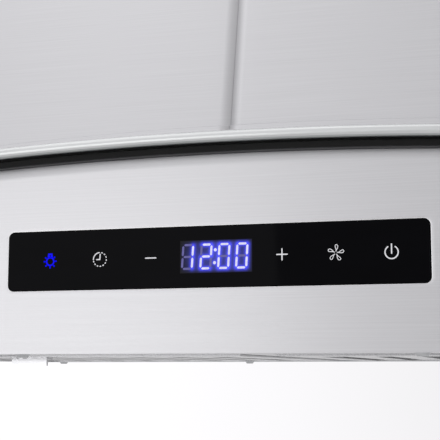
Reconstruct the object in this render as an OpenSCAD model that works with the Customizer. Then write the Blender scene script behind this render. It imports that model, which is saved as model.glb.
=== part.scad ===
// Wall-mounted kitchen range hood with an arched glass visor, a tapered steel tower, a telescopic
// chimney and a touch control panel. Millimetres. The wall is the plane y = 0, the front faces -y,
// and z = 0 is the lower rim of the canopy.

/* [Canopy] */
// Width of the steel body under the glass
body_w = 598; // [580:2:610]
// Depth of the body from the wall to the face of the fascia
body_d = 470; // [465:1:480]
// Height of the fascia at the middle
front_h = 92; // [90:1:96]
// Thickness of the steel sheet
sheet = 1; // [0.8:0.1:1.2]
// Outer radius of the bend where the fascia starts to slope back under the seal
bend_r = 6; // [5:0.5:7]
// Angle of that slope
slope_angle = 20; // [15:1:25]

/* [Glass visor] */
// Width of the glass
glass_w = 762; // [740:2:780]
// Thickness of the glass
glass_t = 6; // [5:0.5:6]
// How far the glass stands out in front of the fascia
glass_lap = 6; // [2:1:10]
// Radius of the arched underside of the glass
glass_r = 2022; // [1950:1:2100]
// Height of the rubber seal between the fascia and the glass
seal_h = 4; // [3:0.5:5]

/* [Tower] */
// Width of the tower where it stands on the glass
tower_base_w = 430; // [420:2:440]
// Depth of the tower where it stands on the glass
tower_base_d = 435; // [430:1:440]
// Width of the tower at the top
tower_top_w = 320; // [320:1:324]
// Depth of the tower at the top
tower_top_d = 340; // [340:1:344]
// Height of the top of the tower above the rim
tower_top_z = 500; // [480:5:520]
// Width of the open joint down the middle of the tower's front
joint_gap = 0.6; // [0.4:0.1:2]
// Depth of the folded edges that face each other across the open joint
joint_depth = 5; // [4:0.5:6]
// Height of the trim strip round the foot of the tower
trim_h = 11; // [8:0.5:12]

/* [Chimney] */
// Length of the sliding chimney
chimney_l = 430; // [420:2:440]
// Gap between the chimney and the top of the tower
chimney_gap = 2; // [1.5:0.1:2.5]

/* [Blower] */
// Radius of the fan wheel
wheel_r = 80; // [76:1:80]
// Width of the fan wheel
wheel_w = 130; // [120:1:130]
// Number of blades on the fan wheel
blades = 32; // [24:1:40]
// Outer radius of the duct collar
collar_r = 74.5; // [74:0.5:75]

/* [Control panel] */
// Width of the touch glass
panel_w = 200; // [196:1:202]
// Height of the touch glass
panel_h = 27.8; // [26:0.1:29]
// Height of the middle of the touch glass above the rim
panel_z = 44; // [42:1:46]

/* [Filters] */
// Width of one grease filter
filter_w = 260; // [258:1:260]
// Depth of one grease filter
filter_d = 325; // [323:1:325]
// Thickness of one grease filter
filter_t = 12; // [11:0.5:13]
// Width of one baffle
baffle_w = 17.5; // [17:0.1:18]

/* [Hidden] */

steel = [0.78, 0.78, 0.80];
dark_steel = [0.35, 0.36, 0.38];
zinc = [0.66, 0.68, 0.70];
black = [0.08, 0.08, 0.09];
copper = [0.72, 0.45, 0.20];
board_green = [0.10, 0.35, 0.18];
white = [0.93, 0.93, 0.92];
visor_tint = [0.75, 0.85, 0.84, 0.4];

arch_fn = 720;                            // facets of the very large arch cylinders
round_fn = 64;                            // facets of everything else that is round
eps = 0.01;
arc_z = front_h + seal_h - glass_r;       // height of the centre that every arch shares
front_r = glass_r - seal_h;               // top of the fascia
fold_r = 1.2;                             // outer radius of the fold at the top of the fascia
slope_l = 2.9;                            // length of the fascia's slope along the sheet
// Radius at which the fascia starts to slope back, and depth of the centre of the top fold
edge_r = front_r - bend_r * sin(slope_angle) - slope_l * cos(slope_angle) - fold_r * (1 - sin(slope_angle));
fold_depth = body_d - (bend_r - fold_r) * (1 - cos(slope_angle)) - slope_l * sin(slope_angle) - fold_r;
deck_r = front_r - sheet;                 // top of the deck, under the fascia's flange
glass_top_r = glass_r + glass_t;
tower_foot_r = glass_top_r + 0.3;         // the tower and its trim stand just clear of the glass
glass_top_z = front_h + seal_h + glass_t;
half_w = body_w / 2;
rim = 13;                                 // width of the flange that is turned in at the rim

back_t = 1.5;                             // the back panel is thicker, because it carries the hood
tongue_w = 250;
tongue_z = 430;
wall_hole_x = 100;
wall_hole_z = [130, 400];
wall_hole_r = 4.2;

deck_hole = [[-150, -345], [150, -65]];   // air passage in the deck
glass_hole = [[-165, -360], [165, -50]];  // wider passage in the glass round it
bolt_x = 270;
bolt_y = [-430, -235, -40];
bolt_angle = asin(bolt_x / glass_r);

lean_x = (tower_base_w - tower_top_w) / 2 / (tower_top_z - glass_top_z);
lean_y = (tower_base_d - tower_top_d) / (tower_top_z - glass_top_z);
tower_foot_z = glass_top_z - 14;          // the walls start inside the glass and are cut to its arch
bracket_screw_z = 140;

chimney_w = tower_top_w - 2 * sheet - 2 * chimney_gap;
chimney_front = -(tower_top_d - joint_depth - sheet - chimney_gap);
chimney_back = -1.5;
chimney_z = tower_top_z + 80 - chimney_l; // 80 mm of the chimney shows when it is pushed right down

wheel_x = -50;
wheel_y = -150;
wheel_z = 245;
housing_front = -226;
housing_back = -74;
outlet_x = 75;
outlet_z = 365;
inlet_r = 66;
standoff_r = 85.5;                        // distance of the standoffs from the wheel's axis
collar_z = outlet_z + sheet;
collar_h = 64;
damper_z = collar_z + 12;
damper_x = 4;
damper_r = 71.5;
pin_r = 1.2;

box_x = [40, 118];
box_y = [-60, -back_t];
box_z = [190, 310];
gland_x = 79;
gland_y = -30;
gland_bore_r = 4;

panel_t = 3;
panel_corner = 2.4;
panel_face = -(body_d + 0.5);             // the touch glass stands 0.5 mm proud of the fascia
key_x = [-81, -56, -31, 31, 56, 81];      // the six touch keys, either side of the display
housing_h = 40;
housing_back_y = -body_d + sheet + 18;
board_y = -458;
board_t = 1.6;

lamp_x = 190;
lamp_y = -418;
lamp_r = 33;
lamp_lip = 0.8;                           // how far the lamp's rim stands below the canopy's base
lamp_board_z = 9;

filter_x = 140;
filter_back = -48;
filter_y = filter_back - filter_d / 2;
filter_gap = 2;
filter_pin_r = 1.5;
filter_pin_z = 2 * sheet + filter_pin_r + 0.06;
front_strip = 44;                         // closed strip at the front of a filter, with its latch
skin = 0.8;
baffle_pitch = 29;

// Routes of the two wiring looms, through the middle of the cable
control_route = [
    [60, -40, 212], [60, -40, 190], [62, -42, 176], [72, -50, 160], [90, -62, 144], [108, -74, 128],
    [122, -84, 112], [130, -92, 98], [138, -104, 86], [150, -124, 77], [162, -150, 74],
    [165, -180, 74], [165, -240, 74], [165, -300, 74], [165, -360, 74], [160, -392, 72],
    [144, -414, 66], [118, -426, 57], [88, -431, 50], [68, -436, 47], [61, -444, 46],
    [60, -450, 46], [60, -455, 46]
];
motor_route = [
    [40, -44, 240], [30, -46, 240], [16, -52, 241], [0, -58, 242], [-14, -63, 243],
    [-26, -69, 244], [-33, -76, 245], [-35, -84, 245]
];

function tower_half_w(z) = tower_base_w / 2 - (z - glass_top_z) * lean_x;
function tower_front(z) = -(tower_base_d - (z - glass_top_z) * lean_y);
function arch_height(r, x) = arc_z + sqrt(r * r - x * x);

// Point i of n around a ring of radius r whose axis follows unit vector d at centre c
function ring_point(c, d, r, a) =
    let (side = abs(d[2]) < 0.9 ? [0, 0, 1] : [1, 0, 0],
         u = cross(d, side) / norm(cross(d, side)),
         v = cross(d, u))
    c + r * (cos(a) * u + sin(a) * v);
function heading(p, i) =
    let (a = p[max(i - 1, 0)], b = p[min(i + 1, len(p) - 1)]) (b - a) / norm(b - a);
// Catmull-Rom point on stretch i of path p, at share t
function curve_point(p, i, t) =
    let (a = p[max(i - 1, 0)], b = p[i], c = p[i + 1], d = p[min(i + 2, len(p) - 1)])
    0.5 * (2 * b + (c - a) * t + (2 * a - 5 * b + 4 * c - d) * t * t
           + (3 * b - a - 3 * c + d) * t * t * t);
function smooth(p, steps) = concat(
    [for (i = [0:len(p) - 2]) for (k = [0:steps - 1]) curve_point(p, i, k / steps)],
    [p[len(p) - 1]]);

// A closed tube of radius r along the points of path
module sweep(path, r, sides) {
    n = len(path);
    points = [for (i = [0:n - 1]) for (k = [0:sides - 1])
        ring_point(path[i], heading(path, i), r, 360 * k / sides)];
    walls = [for (i = [0:n - 2]) for (k = [0:sides - 1])
        [i * sides + k, i * sides + (k + 1) % sides,
         (i + 1) * sides + (k + 1) % sides, (i + 1) * sides + k]];
    caps = [[for (k = [0:sides - 1]) sides - 1 - k], [for (k = [0:sides - 1]) (n - 1) * sides + k]];
    polyhedron(points, concat(walls, caps), convexity = 6);
}

module block(low, high) {
    translate(low) cube(high - low);
}

// The left-hand copy of something drawn on the right
module mirrored_x() {
    children();
    mirror([1, 0, 0]) children();
}

// Solid disc of radius r about the arch axis, from y0 to y1
module arch_disc(r, y0, y1) {
    translate([0, y0, arc_z]) rotate([-90, 0, 0]) cylinder(r = r, h = y1 - y0, $fn = arch_fn);
}

// Curved sheet between radii r0 and r1 over the rectangle low to high
module arch_sheet(r0, r1, low, high) {
    intersection() {
        block([low[0], low[1], 0], [high[0], high[1], glass_top_z + 40]);
        difference() {
            arch_disc(r1, low[1] - 1, high[1] + 1);
            arch_disc(r0, low[1] - 2, high[1] + 2);
        }
    }
}

// Puts something on the arch of radius r at an angle from the middle, square to the surface
module on_arch(r, angle, y) {
    translate([0, y, arc_z]) rotate([0, angle, 0]) translate([0, 0, r]) children();
}

module at_bolts(r) {
    for (side = [-1, 1]) for (y = bolt_y) on_arch(r, side * bolt_angle, y) children();
}

// Upright prism with round corners over the rectangle low to high
module rounded_prism(low, high, z, h, r) {
    block([low[0] + r, low[1], z], [high[0] - r, high[1], z + h]);
    block([low[0], low[1] + r, z], [high[0], high[1] - r, z + h]);
    for (x = [low[0] + r, high[0] - r]) for (y = [low[1] + r, high[1] - r])
        translate([x, y, z]) cylinder(r = r, h = h, $fn = round_fn);
}

// Plate with round corners in the x-z plane, from y to y + t, centred on x = 0
module rounded_panel(w, h, z, y, t, r) {
    translate([0, y + t, z]) rotate([90, 0, 0])
        rounded_prism([-w / 2, -h / 2], [w / 2, h / 2], 0, t, r);
}

module tube(r_out, r_in, h) {
    difference() {
        cylinder(r = r_out, h = h, $fn = round_fn);
        translate([0, 0, -1]) cylinder(r = r_in, h = h + 2, $fn = round_fn);
    }
}

// Turns a z axis to the +y direction
module along_y(x, y, z) {
    translate([x, y, z]) rotate([-90, 0, 0]) children();
}

// ---- canopy ----

module screw_holes(y, r) {
    for (x = [-270, -95, 95, 270]) translate([x, y, -5]) cylinder(r = r, h = 12, $fn = round_fn);
}

// Points of the fascia's top edge as [radius, depth], t inside its outer surface
function fascia_edge(t) = concat(
    [for (a = [0:5:slope_angle])
        [edge_r + (bend_r - t) * sin(a), body_d - bend_r + (bend_r - t) * cos(a)]],
    [for (a = [slope_angle:10:90])
        [front_r - fold_r + (fold_r - t) * sin(a), fold_depth + (fold_r - t) * cos(a)]],
    [[front_r - t, fold_depth - 10]]);

module fascia_edge_profile() {
    outer = fascia_edge(0);
    inner = fascia_edge(sheet);
    polygon(concat(outer, [for (i = [len(inner) - 1:-1:0]) inner[i]]));
}

module fascia() {
    color(steel) difference() {
        union() {
            intersection() {
                block([-half_w, -body_d, 0], [half_w, -body_d + sheet, front_h]);
                arch_disc(edge_r + eps, -body_d - 1, -body_d + 2);
            }
            intersection() {
                block([-half_w, -body_d - 1, 0], [half_w, -body_d + 30, front_h + 1]);
                translate([0, 0, arc_z]) rotate([90, 0, 0])
                    rotate_extrude(start = 80, angle = 20, $fn = arch_fn) fascia_edge_profile();
            }
            block([-half_w + sheet, -body_d, 0], [half_w - sheet, -body_d + rim, sheet]);
        }
        rounded_panel(panel_w + 0.6, panel_h + 0.6, panel_z, -body_d - 1, 4, panel_corner + 0.3);
        screw_holes(-body_d + 7, 2.1);
    }
}

module side_panel() {
    color(steel) intersection() {
        union() {
            intersection() {
                block([half_w - sheet, -body_d + sheet, 0], [half_w, 0, front_h]);
                arch_disc(edge_r, -body_d, -fold_depth + fold_r);
            }
            block([half_w - sheet, -fold_depth + fold_r, 0], [half_w, 0, front_h]);
            block([half_w - rim, -body_d + rim, 0], [half_w - sheet / 2, -back_t, sheet]);
        }
        arch_disc(deck_r - sheet - 0.05, -body_d, 1);
    }
}

module side_panel_left() { mirror([1, 0, 0]) side_panel(); }
module side_panel_right() { side_panel(); }

module back_panel() {
    low_w = half_w - sheet;
    color(zinc) difference() {
        union() {
            intersection() {
                block([-low_w, -back_t, 0], [low_w, 0, front_h]);
                arch_disc(deck_r - sheet, -3, 1);
            }
            block([-tongue_w / 2, -back_t, 60], [tongue_w / 2, 0, tongue_z]);
            for (x = [-tongue_w / 2, tongue_w / 2 - back_t])
                block([x, -15, 112], [x + back_t, -back_t / 2, tongue_z]);
            block([-half_w + rim, -rim, 0], [half_w - rim, -back_t / 2, sheet]);
        }
        for (x = [-wall_hole_x, wall_hole_x]) for (z = wall_hole_z)
            along_y(x, -5, z) cylinder(r = wall_hole_r, h = 8, $fn = round_fn);
        screw_holes(-7, 2.1);
    }
}

module top_deck() {
    color(zinc) difference() {
        arch_sheet(deck_r - sheet, deck_r, [-half_w, -body_d + 5], [half_w, -back_t]);
        rounded_prism(deck_hole[0], deck_hole[1], 60, 60, 12);
        at_bolts(deck_r - 10) cylinder(r = 4.5, h = 20, $fn = round_fn);
    }
}

module filter_opening() {
    low = [filter_x - filter_w / 2 - filter_gap, filter_back - filter_d - filter_gap];
    high = [filter_x + filter_w / 2 + filter_gap, filter_back + 3];
    block([low[0], low[1], -5], [high[0], high[1], 10]);
}

// Open bearing at the side of a filter opening, about x = 0 and the pin's axis
module filter_saddle() {
    difference() {
        block([-1.7, -3.2, sheet - filter_pin_z], [1.7, 3.2, 1.9]);
        translate([-3, 0, 0]) rotate([0, 90, 0]) cylinder(r = filter_pin_r + 0.06, h = 6, $fn = round_fn);
        block([-3, -filter_pin_r - 0.06, 0], [3, filter_pin_r + 0.06, 3]);
    }
}

module bottom_frame() {
    color(steel) mirrored_x() for (side = [-1, 1])
        translate([filter_x + side * (filter_w / 2 + filter_gap + 1.7), filter_back - 3, filter_pin_z])
            filter_saddle();
    color(steel) difference() {
        block([-half_w + 1.5, -body_d + 1.5, sheet], [half_w - 1.5, -back_t - 0.2, 2 * sheet]);
        mirrored_x() filter_opening();
        for (x = [-lamp_x, lamp_x]) translate([x, lamp_y, -5]) cylinder(r = lamp_r, h = 12, $fn = round_fn);
        screw_holes(-body_d + 7, 2.1);
        screw_holes(-7, 2.1);
    }
}

module body_screws() {
    color(zinc) {
        for (x = [-270, -95, 95, 270]) for (y = [-body_d + 7, -7]) translate([x, y, 0]) {
            cylinder(r = 2, h = 6, $fn = round_fn);
            difference() {
                translate([0, 0, -1.6]) cylinder(r1 = 2.6, r2 = 3.8, h = 1.6, $fn = round_fn);
                for (a = [0, 90]) rotate([0, 0, a]) block([-2, -0.4, -3], [2, 0.4, -0.8]);
            }
        }
        mirrored_x() tower_screw();
    }
}

// ---- glass visor ----

module glass_visor() {
    half = glass_w / 2;
    front = -body_d - glass_lap;
    color(visor_tint) difference() {
        intersection() {
            rounded_prism([-half, front], [half, -6], 20, 120, 26);
            difference() {
                arch_disc(glass_top_r, front - 1, 0);
                arch_disc(glass_r, front - 2, 1);
            }
        }
        rounded_prism(glass_hole[0], glass_hole[1], 60, 60, 15);
        at_bolts(glass_r - 10) cylinder(r = 5, h = 30, $fn = round_fn);
    }
}

module front_seal() {
    color(black) arch_sheet(front_r, glass_r, [-half_w + 2, -body_d + 1.5], [half_w - 2, -body_d + 10]);
}

module side_seals() {
    color(black) for (low = [-half_w + 2, half_w - 16])
        arch_sheet(deck_r, glass_r, [low, -body_d + 16], [low + 14, -12]);
}

module glass_bolts() {
    color(steel) at_bolts(deck_r - 9) {
        cylinder(r = 4, h = glass_top_r - deck_r + 11, $fn = round_fn);
        translate([0, 0, glass_top_r - deck_r + 10.5]) intersection() {
            cylinder(r = 10, h = 5, $fn = round_fn);
            translate([0, 0, -9]) sphere(r = 13.5, $fn = round_fn);
        }
    }
}

module glass_washers() {
    color(black) at_bolts(glass_top_r) tube(11, 4.2, 1.5);
}

module glass_spacers() {
    color(white) at_bolts(deck_r) tube(9, 4.2, glass_r - deck_r - 0.05);
}

module glass_nuts() {
    color(zinc) at_bolts(deck_r - sheet - 6.05) difference() {
        cylinder(r = 7.5, h = 6, $fn = 6);
        translate([0, 0, -1]) cylinder(r = 4.05, h = 8, $fn = round_fn);
    }
}

// ---- tower ----

// Sheet wall whose section is a rectangle that changes from low_foot/high_foot to low_top/high_top
module leaning_wall(low_foot, high_foot, low_top, high_top) {
    hull() {
        block([low_foot[0], low_foot[1], tower_foot_z], [high_foot[0], high_foot[1], tower_foot_z + eps]);
        block([low_top[0], low_top[1], tower_top_z - eps], [high_top[0], high_top[1], tower_top_z]);
    }
}

module tower_half() {
    foot = [tower_half_w(tower_foot_z), tower_front(tower_foot_z)];
    top = [tower_half_w(tower_top_z), tower_front(tower_top_z)];
    gap = joint_gap / 2;
    color(steel) difference() {
        union() {
            leaning_wall([gap, foot[1]], [foot[0], foot[1] + sheet], [gap, top[1]], [top[0], top[1] + sheet]);
            leaning_wall([gap, foot[1]], [gap + sheet, foot[1] + joint_depth],
                         [gap, top[1]], [gap + sheet, top[1] + joint_depth]);
            leaning_wall([foot[0] - sheet, foot[1]], [foot[0], 0], [top[0] - sheet, top[1]], [top[0], 0]);
            leaning_wall([foot[0] - 18, -sheet], [foot[0], 0], [top[0] - 18, -sheet], [top[0], 0]);
            block([gap, top[1], tower_top_z - sheet],
                  [top[0], top[1] + joint_depth + sheet, tower_top_z]);
        }
        arch_disc(tower_foot_r, -tower_base_d - 20, 10);
        for (y = [-300, -120]) translate([180, y, bracket_screw_z]) rotate([0, 90, 0])
            cylinder(r = 2.2, h = 60, $fn = round_fn);
    }
}

module tower_left() { mirror([1, 0, 0]) tower_half(); }
module tower_right() { tower_half(); }

module joint_strip() {
    foot_y = tower_front(tower_foot_z) + joint_depth + 0.05;
    top_y = tower_front(tower_top_z) + joint_depth + 0.05;
    color(dark_steel) difference() {
        leaning_wall([-10, foot_y], [10, foot_y + sheet], [-10, top_y], [10, top_y + sheet]);
        arch_disc(tower_foot_r, -tower_base_d - 20, 10);
        block([-11, top_y - 20, tower_top_z - sheet], [11, top_y + 20, tower_top_z + 1]);
    }
}

// The outside of the tower as a solid body, bigger by grow at the sides and the front
module leaning_body(grow, back) {
    foot = [tower_half_w(tower_foot_z) + grow, tower_front(tower_foot_z) - grow];
    top = [tower_half_w(tower_top_z) + grow, tower_front(tower_top_z) - grow];
    leaning_wall([-foot[0], foot[1]], [foot[0], back], [-top[0], top[1]], [top[0], back]);
}

module base_trim() {
    color(steel) difference() {
        intersection() {
            arch_sheet(tower_foot_r, tower_foot_r + trim_h, [-half_w, -body_d], [half_w, 1]);
            leaning_body(2, -1);
        }
        leaning_body(0.05, 5);
    }
}

module tower_bracket() {
    arm_x = tower_half_w(bracket_screw_z) - sheet - 1.6;
    foot_z = arch_height(deck_r, 151) + 0.1;
    for (y = [-300, -120]) difference() {
        union() {
            block([151, y - 15, foot_z], [164, y + 15, foot_z + 1.5]);
            block([162.5, y - 15, foot_z], [164, y + 15, bracket_screw_z - 12]);
            block([162.5, y - 15, bracket_screw_z - 13.5], [arm_x, y + 15, bracket_screw_z - 12]);
            block([arm_x - 1.5, y - 15, bracket_screw_z - 13.5], [arm_x, y + 15, bracket_screw_z + 10]);
        }
        translate([180, y, bracket_screw_z]) rotate([0, 90, 0]) cylinder(r = 2.2, h = 60, $fn = round_fn);
    }
}

module tower_brackets() {
    color(zinc) mirrored_x() tower_bracket();
}

module tower_screw() {
    wall_x = tower_half_w(bracket_screw_z);
    for (y = [-300, -120]) translate([wall_x, y, bracket_screw_z]) rotate([0, 90, 0]) {
        translate([0, 0, -12]) cylinder(r = 2, h = 12.6, $fn = round_fn);
        translate([0, 0, 0.6]) intersection() {
            cylinder(r = 4, h = 2.4, $fn = round_fn);
            translate([0, 0, -2.4]) sphere(r = 4.8, $fn = round_fn);
        }
    }
}

// ---- chimney ----

module chimney() {
    half = chimney_w / 2;
    top = chimney_z + chimney_l;
    color(steel) difference() {
        union() {
            block([-half, chimney_front, chimney_z], [half, chimney_front + sheet, top]);
            for (x = [-half, half - sheet])
                block([x, chimney_front, chimney_z], [x + sheet, chimney_back, top]);
            for (x = [-half, half - 20])
                block([x, chimney_back - sheet, chimney_z], [x + 20, chimney_back, top]);
        }
        for (y = [-250, -205, -160, -115]) for (z = [top - 60:10:top - 30])
            block([-half - 5, y - 16, z], [half + 5, y + 16, z + 4]);
        for (x = [-half - 4, half - 4]) translate([x, -20, top - 25]) rotate([0, 90, 0])
            cylinder(r = 2.2, h = 8, $fn = round_fn);
    }
}

module chimney_bracket() {
    half = chimney_w / 2 - sheet - 0.3;
    z = chimney_z + chimney_l - 38;
    color(zinc) difference() {
        union() {
            block([-half, -4.5, z], [half, -3, z + 26]);
            for (x = [-half, half - 1.5]) block([x, -32, z], [x + 1.5, -3, z + 26]);
            for (x = [-100, 100]) along_y(x, -3.2, z + 13) cylinder(r = 8, h = 3.2, $fn = round_fn);
        }
        for (x = [-100, 100]) along_y(x, -8, z + 13) cylinder(r = 2.6, h = 12, $fn = round_fn);
        for (x = [-half - 3, half - 4]) translate([x, -20, z + 13]) rotate([0, 90, 0])
            cylinder(r = 2.2, h = 8, $fn = round_fn);
    }
}

module chimney_screws() {
    color(zinc) mirrored_x()
        translate([chimney_w / 2, -20, chimney_z + chimney_l - 25]) rotate([0, 90, 0]) {
            translate([0, 0, -8]) cylinder(r = 2, h = 8.2, $fn = round_fn);
            intersection() {
                cylinder(r = 3.6, h = 1.6, $fn = round_fn);
                translate([0, 0, -3.2]) sphere(r = 4.8, $fn = round_fn);
            }
        }
}

// ---- blower ----

// Radius of the spiral casing at an angle from the tongue, 110 degrees, round to the outlet, 360
function scroll_r(a) = wheel_r + 7 + 38 * (a - 110) / 250;

module scroll_outline(inset, over) {
    spiral = [for (a = [360:-5:110])
        [wheel_x + (scroll_r(a) - inset) * cos(a), wheel_z + (scroll_r(a) - inset) * sin(a)]];
    polygon(concat([[outlet_x - inset, outlet_z + over]], spiral, [[-outlet_x + inset, outlet_z + over]]));
}

// Extrudes an outline drawn in x and z from y0 to y1
module slab_y(y0, y1) {
    translate([0, y1, 0]) rotate([90, 0, 0]) linear_extrude(y1 - y0) children();
}

module blower_scroll() {
    color(zinc) slab_y(housing_front + sheet, housing_back - sheet) difference() {
        scroll_outline(0, 0);
        scroll_outline(sheet, 1);
    }
}

module blower_plates() {
    color(zinc) {
        for (y = [housing_front, housing_back - sheet]) slab_y(y, y + sheet) difference() {
            scroll_outline(0, 0);
            translate([wheel_x, wheel_z]) circle(r = inlet_r, $fn = round_fn);
        }
        difference() {
            block([-outlet_x - 8, wheel_y - 83, outlet_z], [outlet_x + 8, wheel_y + 83, collar_z]);
            translate([0, wheel_y, outlet_z - 2]) cylinder(r = collar_r - sheet, h = 6, $fn = round_fn);
        }
    }
}

// Bell-mouthed ring that leads the air into one side of the wheel
module inlet_ring() {
    rotate_extrude($fn = round_fn) {
        translate([inlet_r + 6, 0]) square([6, 1]);
        intersection() {
            translate([inlet_r + 6, 6]) difference() {
                circle(r = 6, $fn = round_fn);
                circle(r = 5, $fn = round_fn);
            }
            translate([inlet_r, 0]) square([6, 6]);
        }
    }
}

module inlet_rings() {
    color(zinc) {
        translate([wheel_x, housing_front, wheel_z]) rotate([90, 0, 0]) inlet_ring();
        along_y(wheel_x, housing_back, wheel_z) inlet_ring();
    }
}

module at_standoffs() {
    for (a = [45, 135, 225, 315])
        along_y(wheel_x + standoff_r * cos(a), housing_back, wheel_z + standoff_r * sin(a)) children();
}

module blower_standoffs() {
    color(zinc) at_standoffs() tube(4.5, 2.2, -housing_back - back_t);
}

module fan_wheel() {
    half = wheel_w / 2;
    color(dark_steel) along_y(wheel_x, wheel_y, wheel_z) {
        for (z = [-half, half - 1.5]) translate([0, 0, z]) tube(wheel_r, wheel_r - 12, 1.5);
        translate([0, 0, -0.75]) tube(wheel_r - 1, 14, 1.5);
        translate([0, 0, -12]) tube(15, 4.05, 20);
    }
}

// The blades are riveted through the wheel's rings and its middle disc
module fan_blades() {
    half = wheel_w / 2;
    color(dark_steel) along_y(wheel_x, wheel_y, wheel_z)
        for (i = [0:blades - 1]) rotate([0, 0, 360 * i / blades])
            translate([wheel_r - 6, 0, 0]) rotate([0, 0, 32])
                block([-5.6, -0.5, -half + 0.5], [5.6, 0.5, half - 0.5]);
}

module motor_shaft() {
    color(steel) along_y(wheel_x, wheel_y - 22, wheel_z) cylinder(r = 4, h = 76, $fn = round_fn);
}

module wheel_nut() {
    color(steel) along_y(wheel_x, wheel_y - 18, wheel_z) difference() {
        cylinder(r = 7.5, h = 6, $fn = 6);
        translate([0, 0, -1]) cylinder(r = 4, h = 8, $fn = round_fn);
    }
}

module motor() {
    color(zinc) along_y(wheel_x, wheel_y + 10, wheel_z) difference() {
        union() {
            cylinder(r = 44, h = 52, $fn = round_fn);
            translate([0, 0, 6]) cylinder(r = 48, h = 36, $fn = round_fn);
        }
        translate([0, 0, -1]) cylinder(r = 4.05, h = 46, $fn = round_fn);
        for (i = [0:7]) rotate([0, 0, 45 * i]) translate([32, 0, 46]) cylinder(r = 5, h = 10, $fn = round_fn);
    }
}

module motor_bracket() {
    color(zinc) along_y(wheel_x, 0, wheel_z) {
        translate([0, 0, -88]) tube(40, 12, 2);
        for (a = [90, 210, 330]) rotate([0, 0, a]) {
            block([30, -9, -88], [61, 9, -86]);
            block([59, -9, -88], [61, 9, -63]);
            block([59, -9, -65], [90, 9, -63]);
            block([84, -9, housing_back], [90, 9, -63]);
        }
    }
}

module at_pins(reach) {
    for (x = [-damper_x, damper_x]) along_y(x, wheel_y - reach, damper_z) children();
}

module duct_collar() {
    color(zinc) difference() {
        translate([0, wheel_y, collar_z]) {
            tube(collar_r + 8, collar_r - sheet, sheet);
            tube(collar_r, collar_r - sheet, collar_h);
            translate([0, 0, damper_z - collar_z - 2.6]) tube(collar_r - sheet / 2, collar_r - 5, 1.2);
        }
        at_pins(80) cylinder(r = pin_r, h = 160, $fn = round_fn);
    }
}

module damper_pins() {
    reach = collar_r - 0.2;
    color(steel) at_pins(reach) cylinder(r = pin_r, h = 2 * reach, $fn = round_fn);
}

module damper_flap() {
    difference() {
        union() {
            intersection() {
                translate([0, wheel_y, damper_z - 1.2]) cylinder(r = damper_r, h = 0.8, $fn = round_fn);
                block([damper_x, wheel_y - 80, damper_z - 5], [80, wheel_y + 80, damper_z + 5]);
            }
            along_y(damper_x, wheel_y - 58, damper_z) cylinder(r = 2.4, h = 116, $fn = round_fn);
        }
        along_y(damper_x, wheel_y - 80, damper_z) cylinder(r = pin_r + 0.05, h = 160, $fn = round_fn);
    }
}

module damper_flap_left() { color(steel) mirror([1, 0, 0]) damper_flap(); }
module damper_flap_right() { color(steel) damper_flap(); }

// ---- electrics ----

module electronics_box() {
    wall = 1.5;
    color(zinc) difference() {
        block([box_x[0], box_y[0], box_z[0]], [box_x[1], box_y[1], box_z[1]]);
        block([box_x[0] + wall, box_y[0] - 1, box_z[0] + wall],
              [box_x[1] - wall, box_y[1] - wall, box_z[1] - wall]);
        translate([gland_x, gland_y, box_z[1] - 5]) cylinder(r = 6.1, h = 10, $fn = round_fn);
        translate([60, -40, box_z[0] - 1]) cylinder(r = 3.6, h = 5, $fn = round_fn);
        translate([box_x[0] - 1, -44, 240]) rotate([0, 90, 0]) cylinder(r = 2.8, h = 5, $fn = round_fn);
    }
}

module electronics_cover() {
    color(zinc) {
        block([box_x[0], box_y[0] - 1.2, box_z[0]], [box_x[1], box_y[0], box_z[1]]);
        for (z = [box_z[0] + 10, box_z[1] - 10]) for (x = [box_x[0] + 8, box_x[1] - 8])
            translate([x, box_y[0] - 1.2, z]) rotate([90, 0, 0]) cylinder(r = 3, h = 1.6, $fn = round_fn);
    }
}

module run_capacitor() {
    color(white) translate([96, -30, box_z[0] + 1.5]) {
        cylinder(r = 15, h = 58, $fn = round_fn);
        for (x = [-5, 5]) translate([x, 0, 57]) cylinder(r = 1.5, h = 9, $fn = round_fn);
    }
}

module terminal_block() {
    color(white) difference() {
        block([46, -22, 214], [74, -3, 270]);
        for (z = [221:12:257]) translate([60, -15, z]) rotate([90, 0, 0])
            cylinder(r = 3, h = 12, $fn = round_fn);
    }
}

module cable_gland() {
    color(black) translate([gland_x, gland_y, box_z[1]]) difference() {
        union() {
            translate([0, 0, -8]) cylinder(r = 6, h = 10, $fn = round_fn);
            cylinder(r = 9.5, h = 6, $fn = 6);
            translate([0, 0, 5]) cylinder(r = 8, h = 12, $fn = round_fn);
            translate([0, 0, 17]) cylinder(r1 = 8, r2 = 6, h = 3, $fn = round_fn);
            translate([0, 0, -6]) cylinder(r = 9.5, h = 4.5, $fn = 6);
        }
        translate([0, 0, -10]) cylinder(r = gland_bore_r, h = 32, $fn = round_fn);
    }
}

module control_cable() {
    color(black) sweep(smooth(control_route, 3), 3, 8);
}

module motor_cable() {
    color(black) sweep(smooth(motor_route, 3), 2.5, 8);
}

module cable_clips() {
    clip_x = 165;
    clip_z = 74;
    deck_under = arch_height(deck_r - sheet, clip_x + 16) - 0.1;
    color(white) for (y = [-200, -275, -350]) {
        block([clip_x + 3, y - 5, deck_under - 1.5], [clip_x + 15, y + 5, deck_under]);
        block([clip_x + 3, y - 5, clip_z + 2], [clip_x + 5, y + 5, deck_under]);
        difference() {
            along_y(clip_x, y - 5, clip_z) cylinder(r = 5, h = 10, $fn = round_fn);
            along_y(clip_x, y - 6, clip_z) cylinder(r = 3.2, h = 12, $fn = round_fn);
        }
    }
}

// ---- control panel ----

module control_glass() {
    color(black) rounded_panel(panel_w, panel_h, panel_z, panel_face, panel_t, panel_corner);
}

// Box about the middle of the touch glass, half_x wide and half_z high either way
module panel_box(half_x, half_z, y0, y1) {
    block([-half_x, y0, panel_z - half_z], [half_x, y1, panel_z + half_z]);
}

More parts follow.
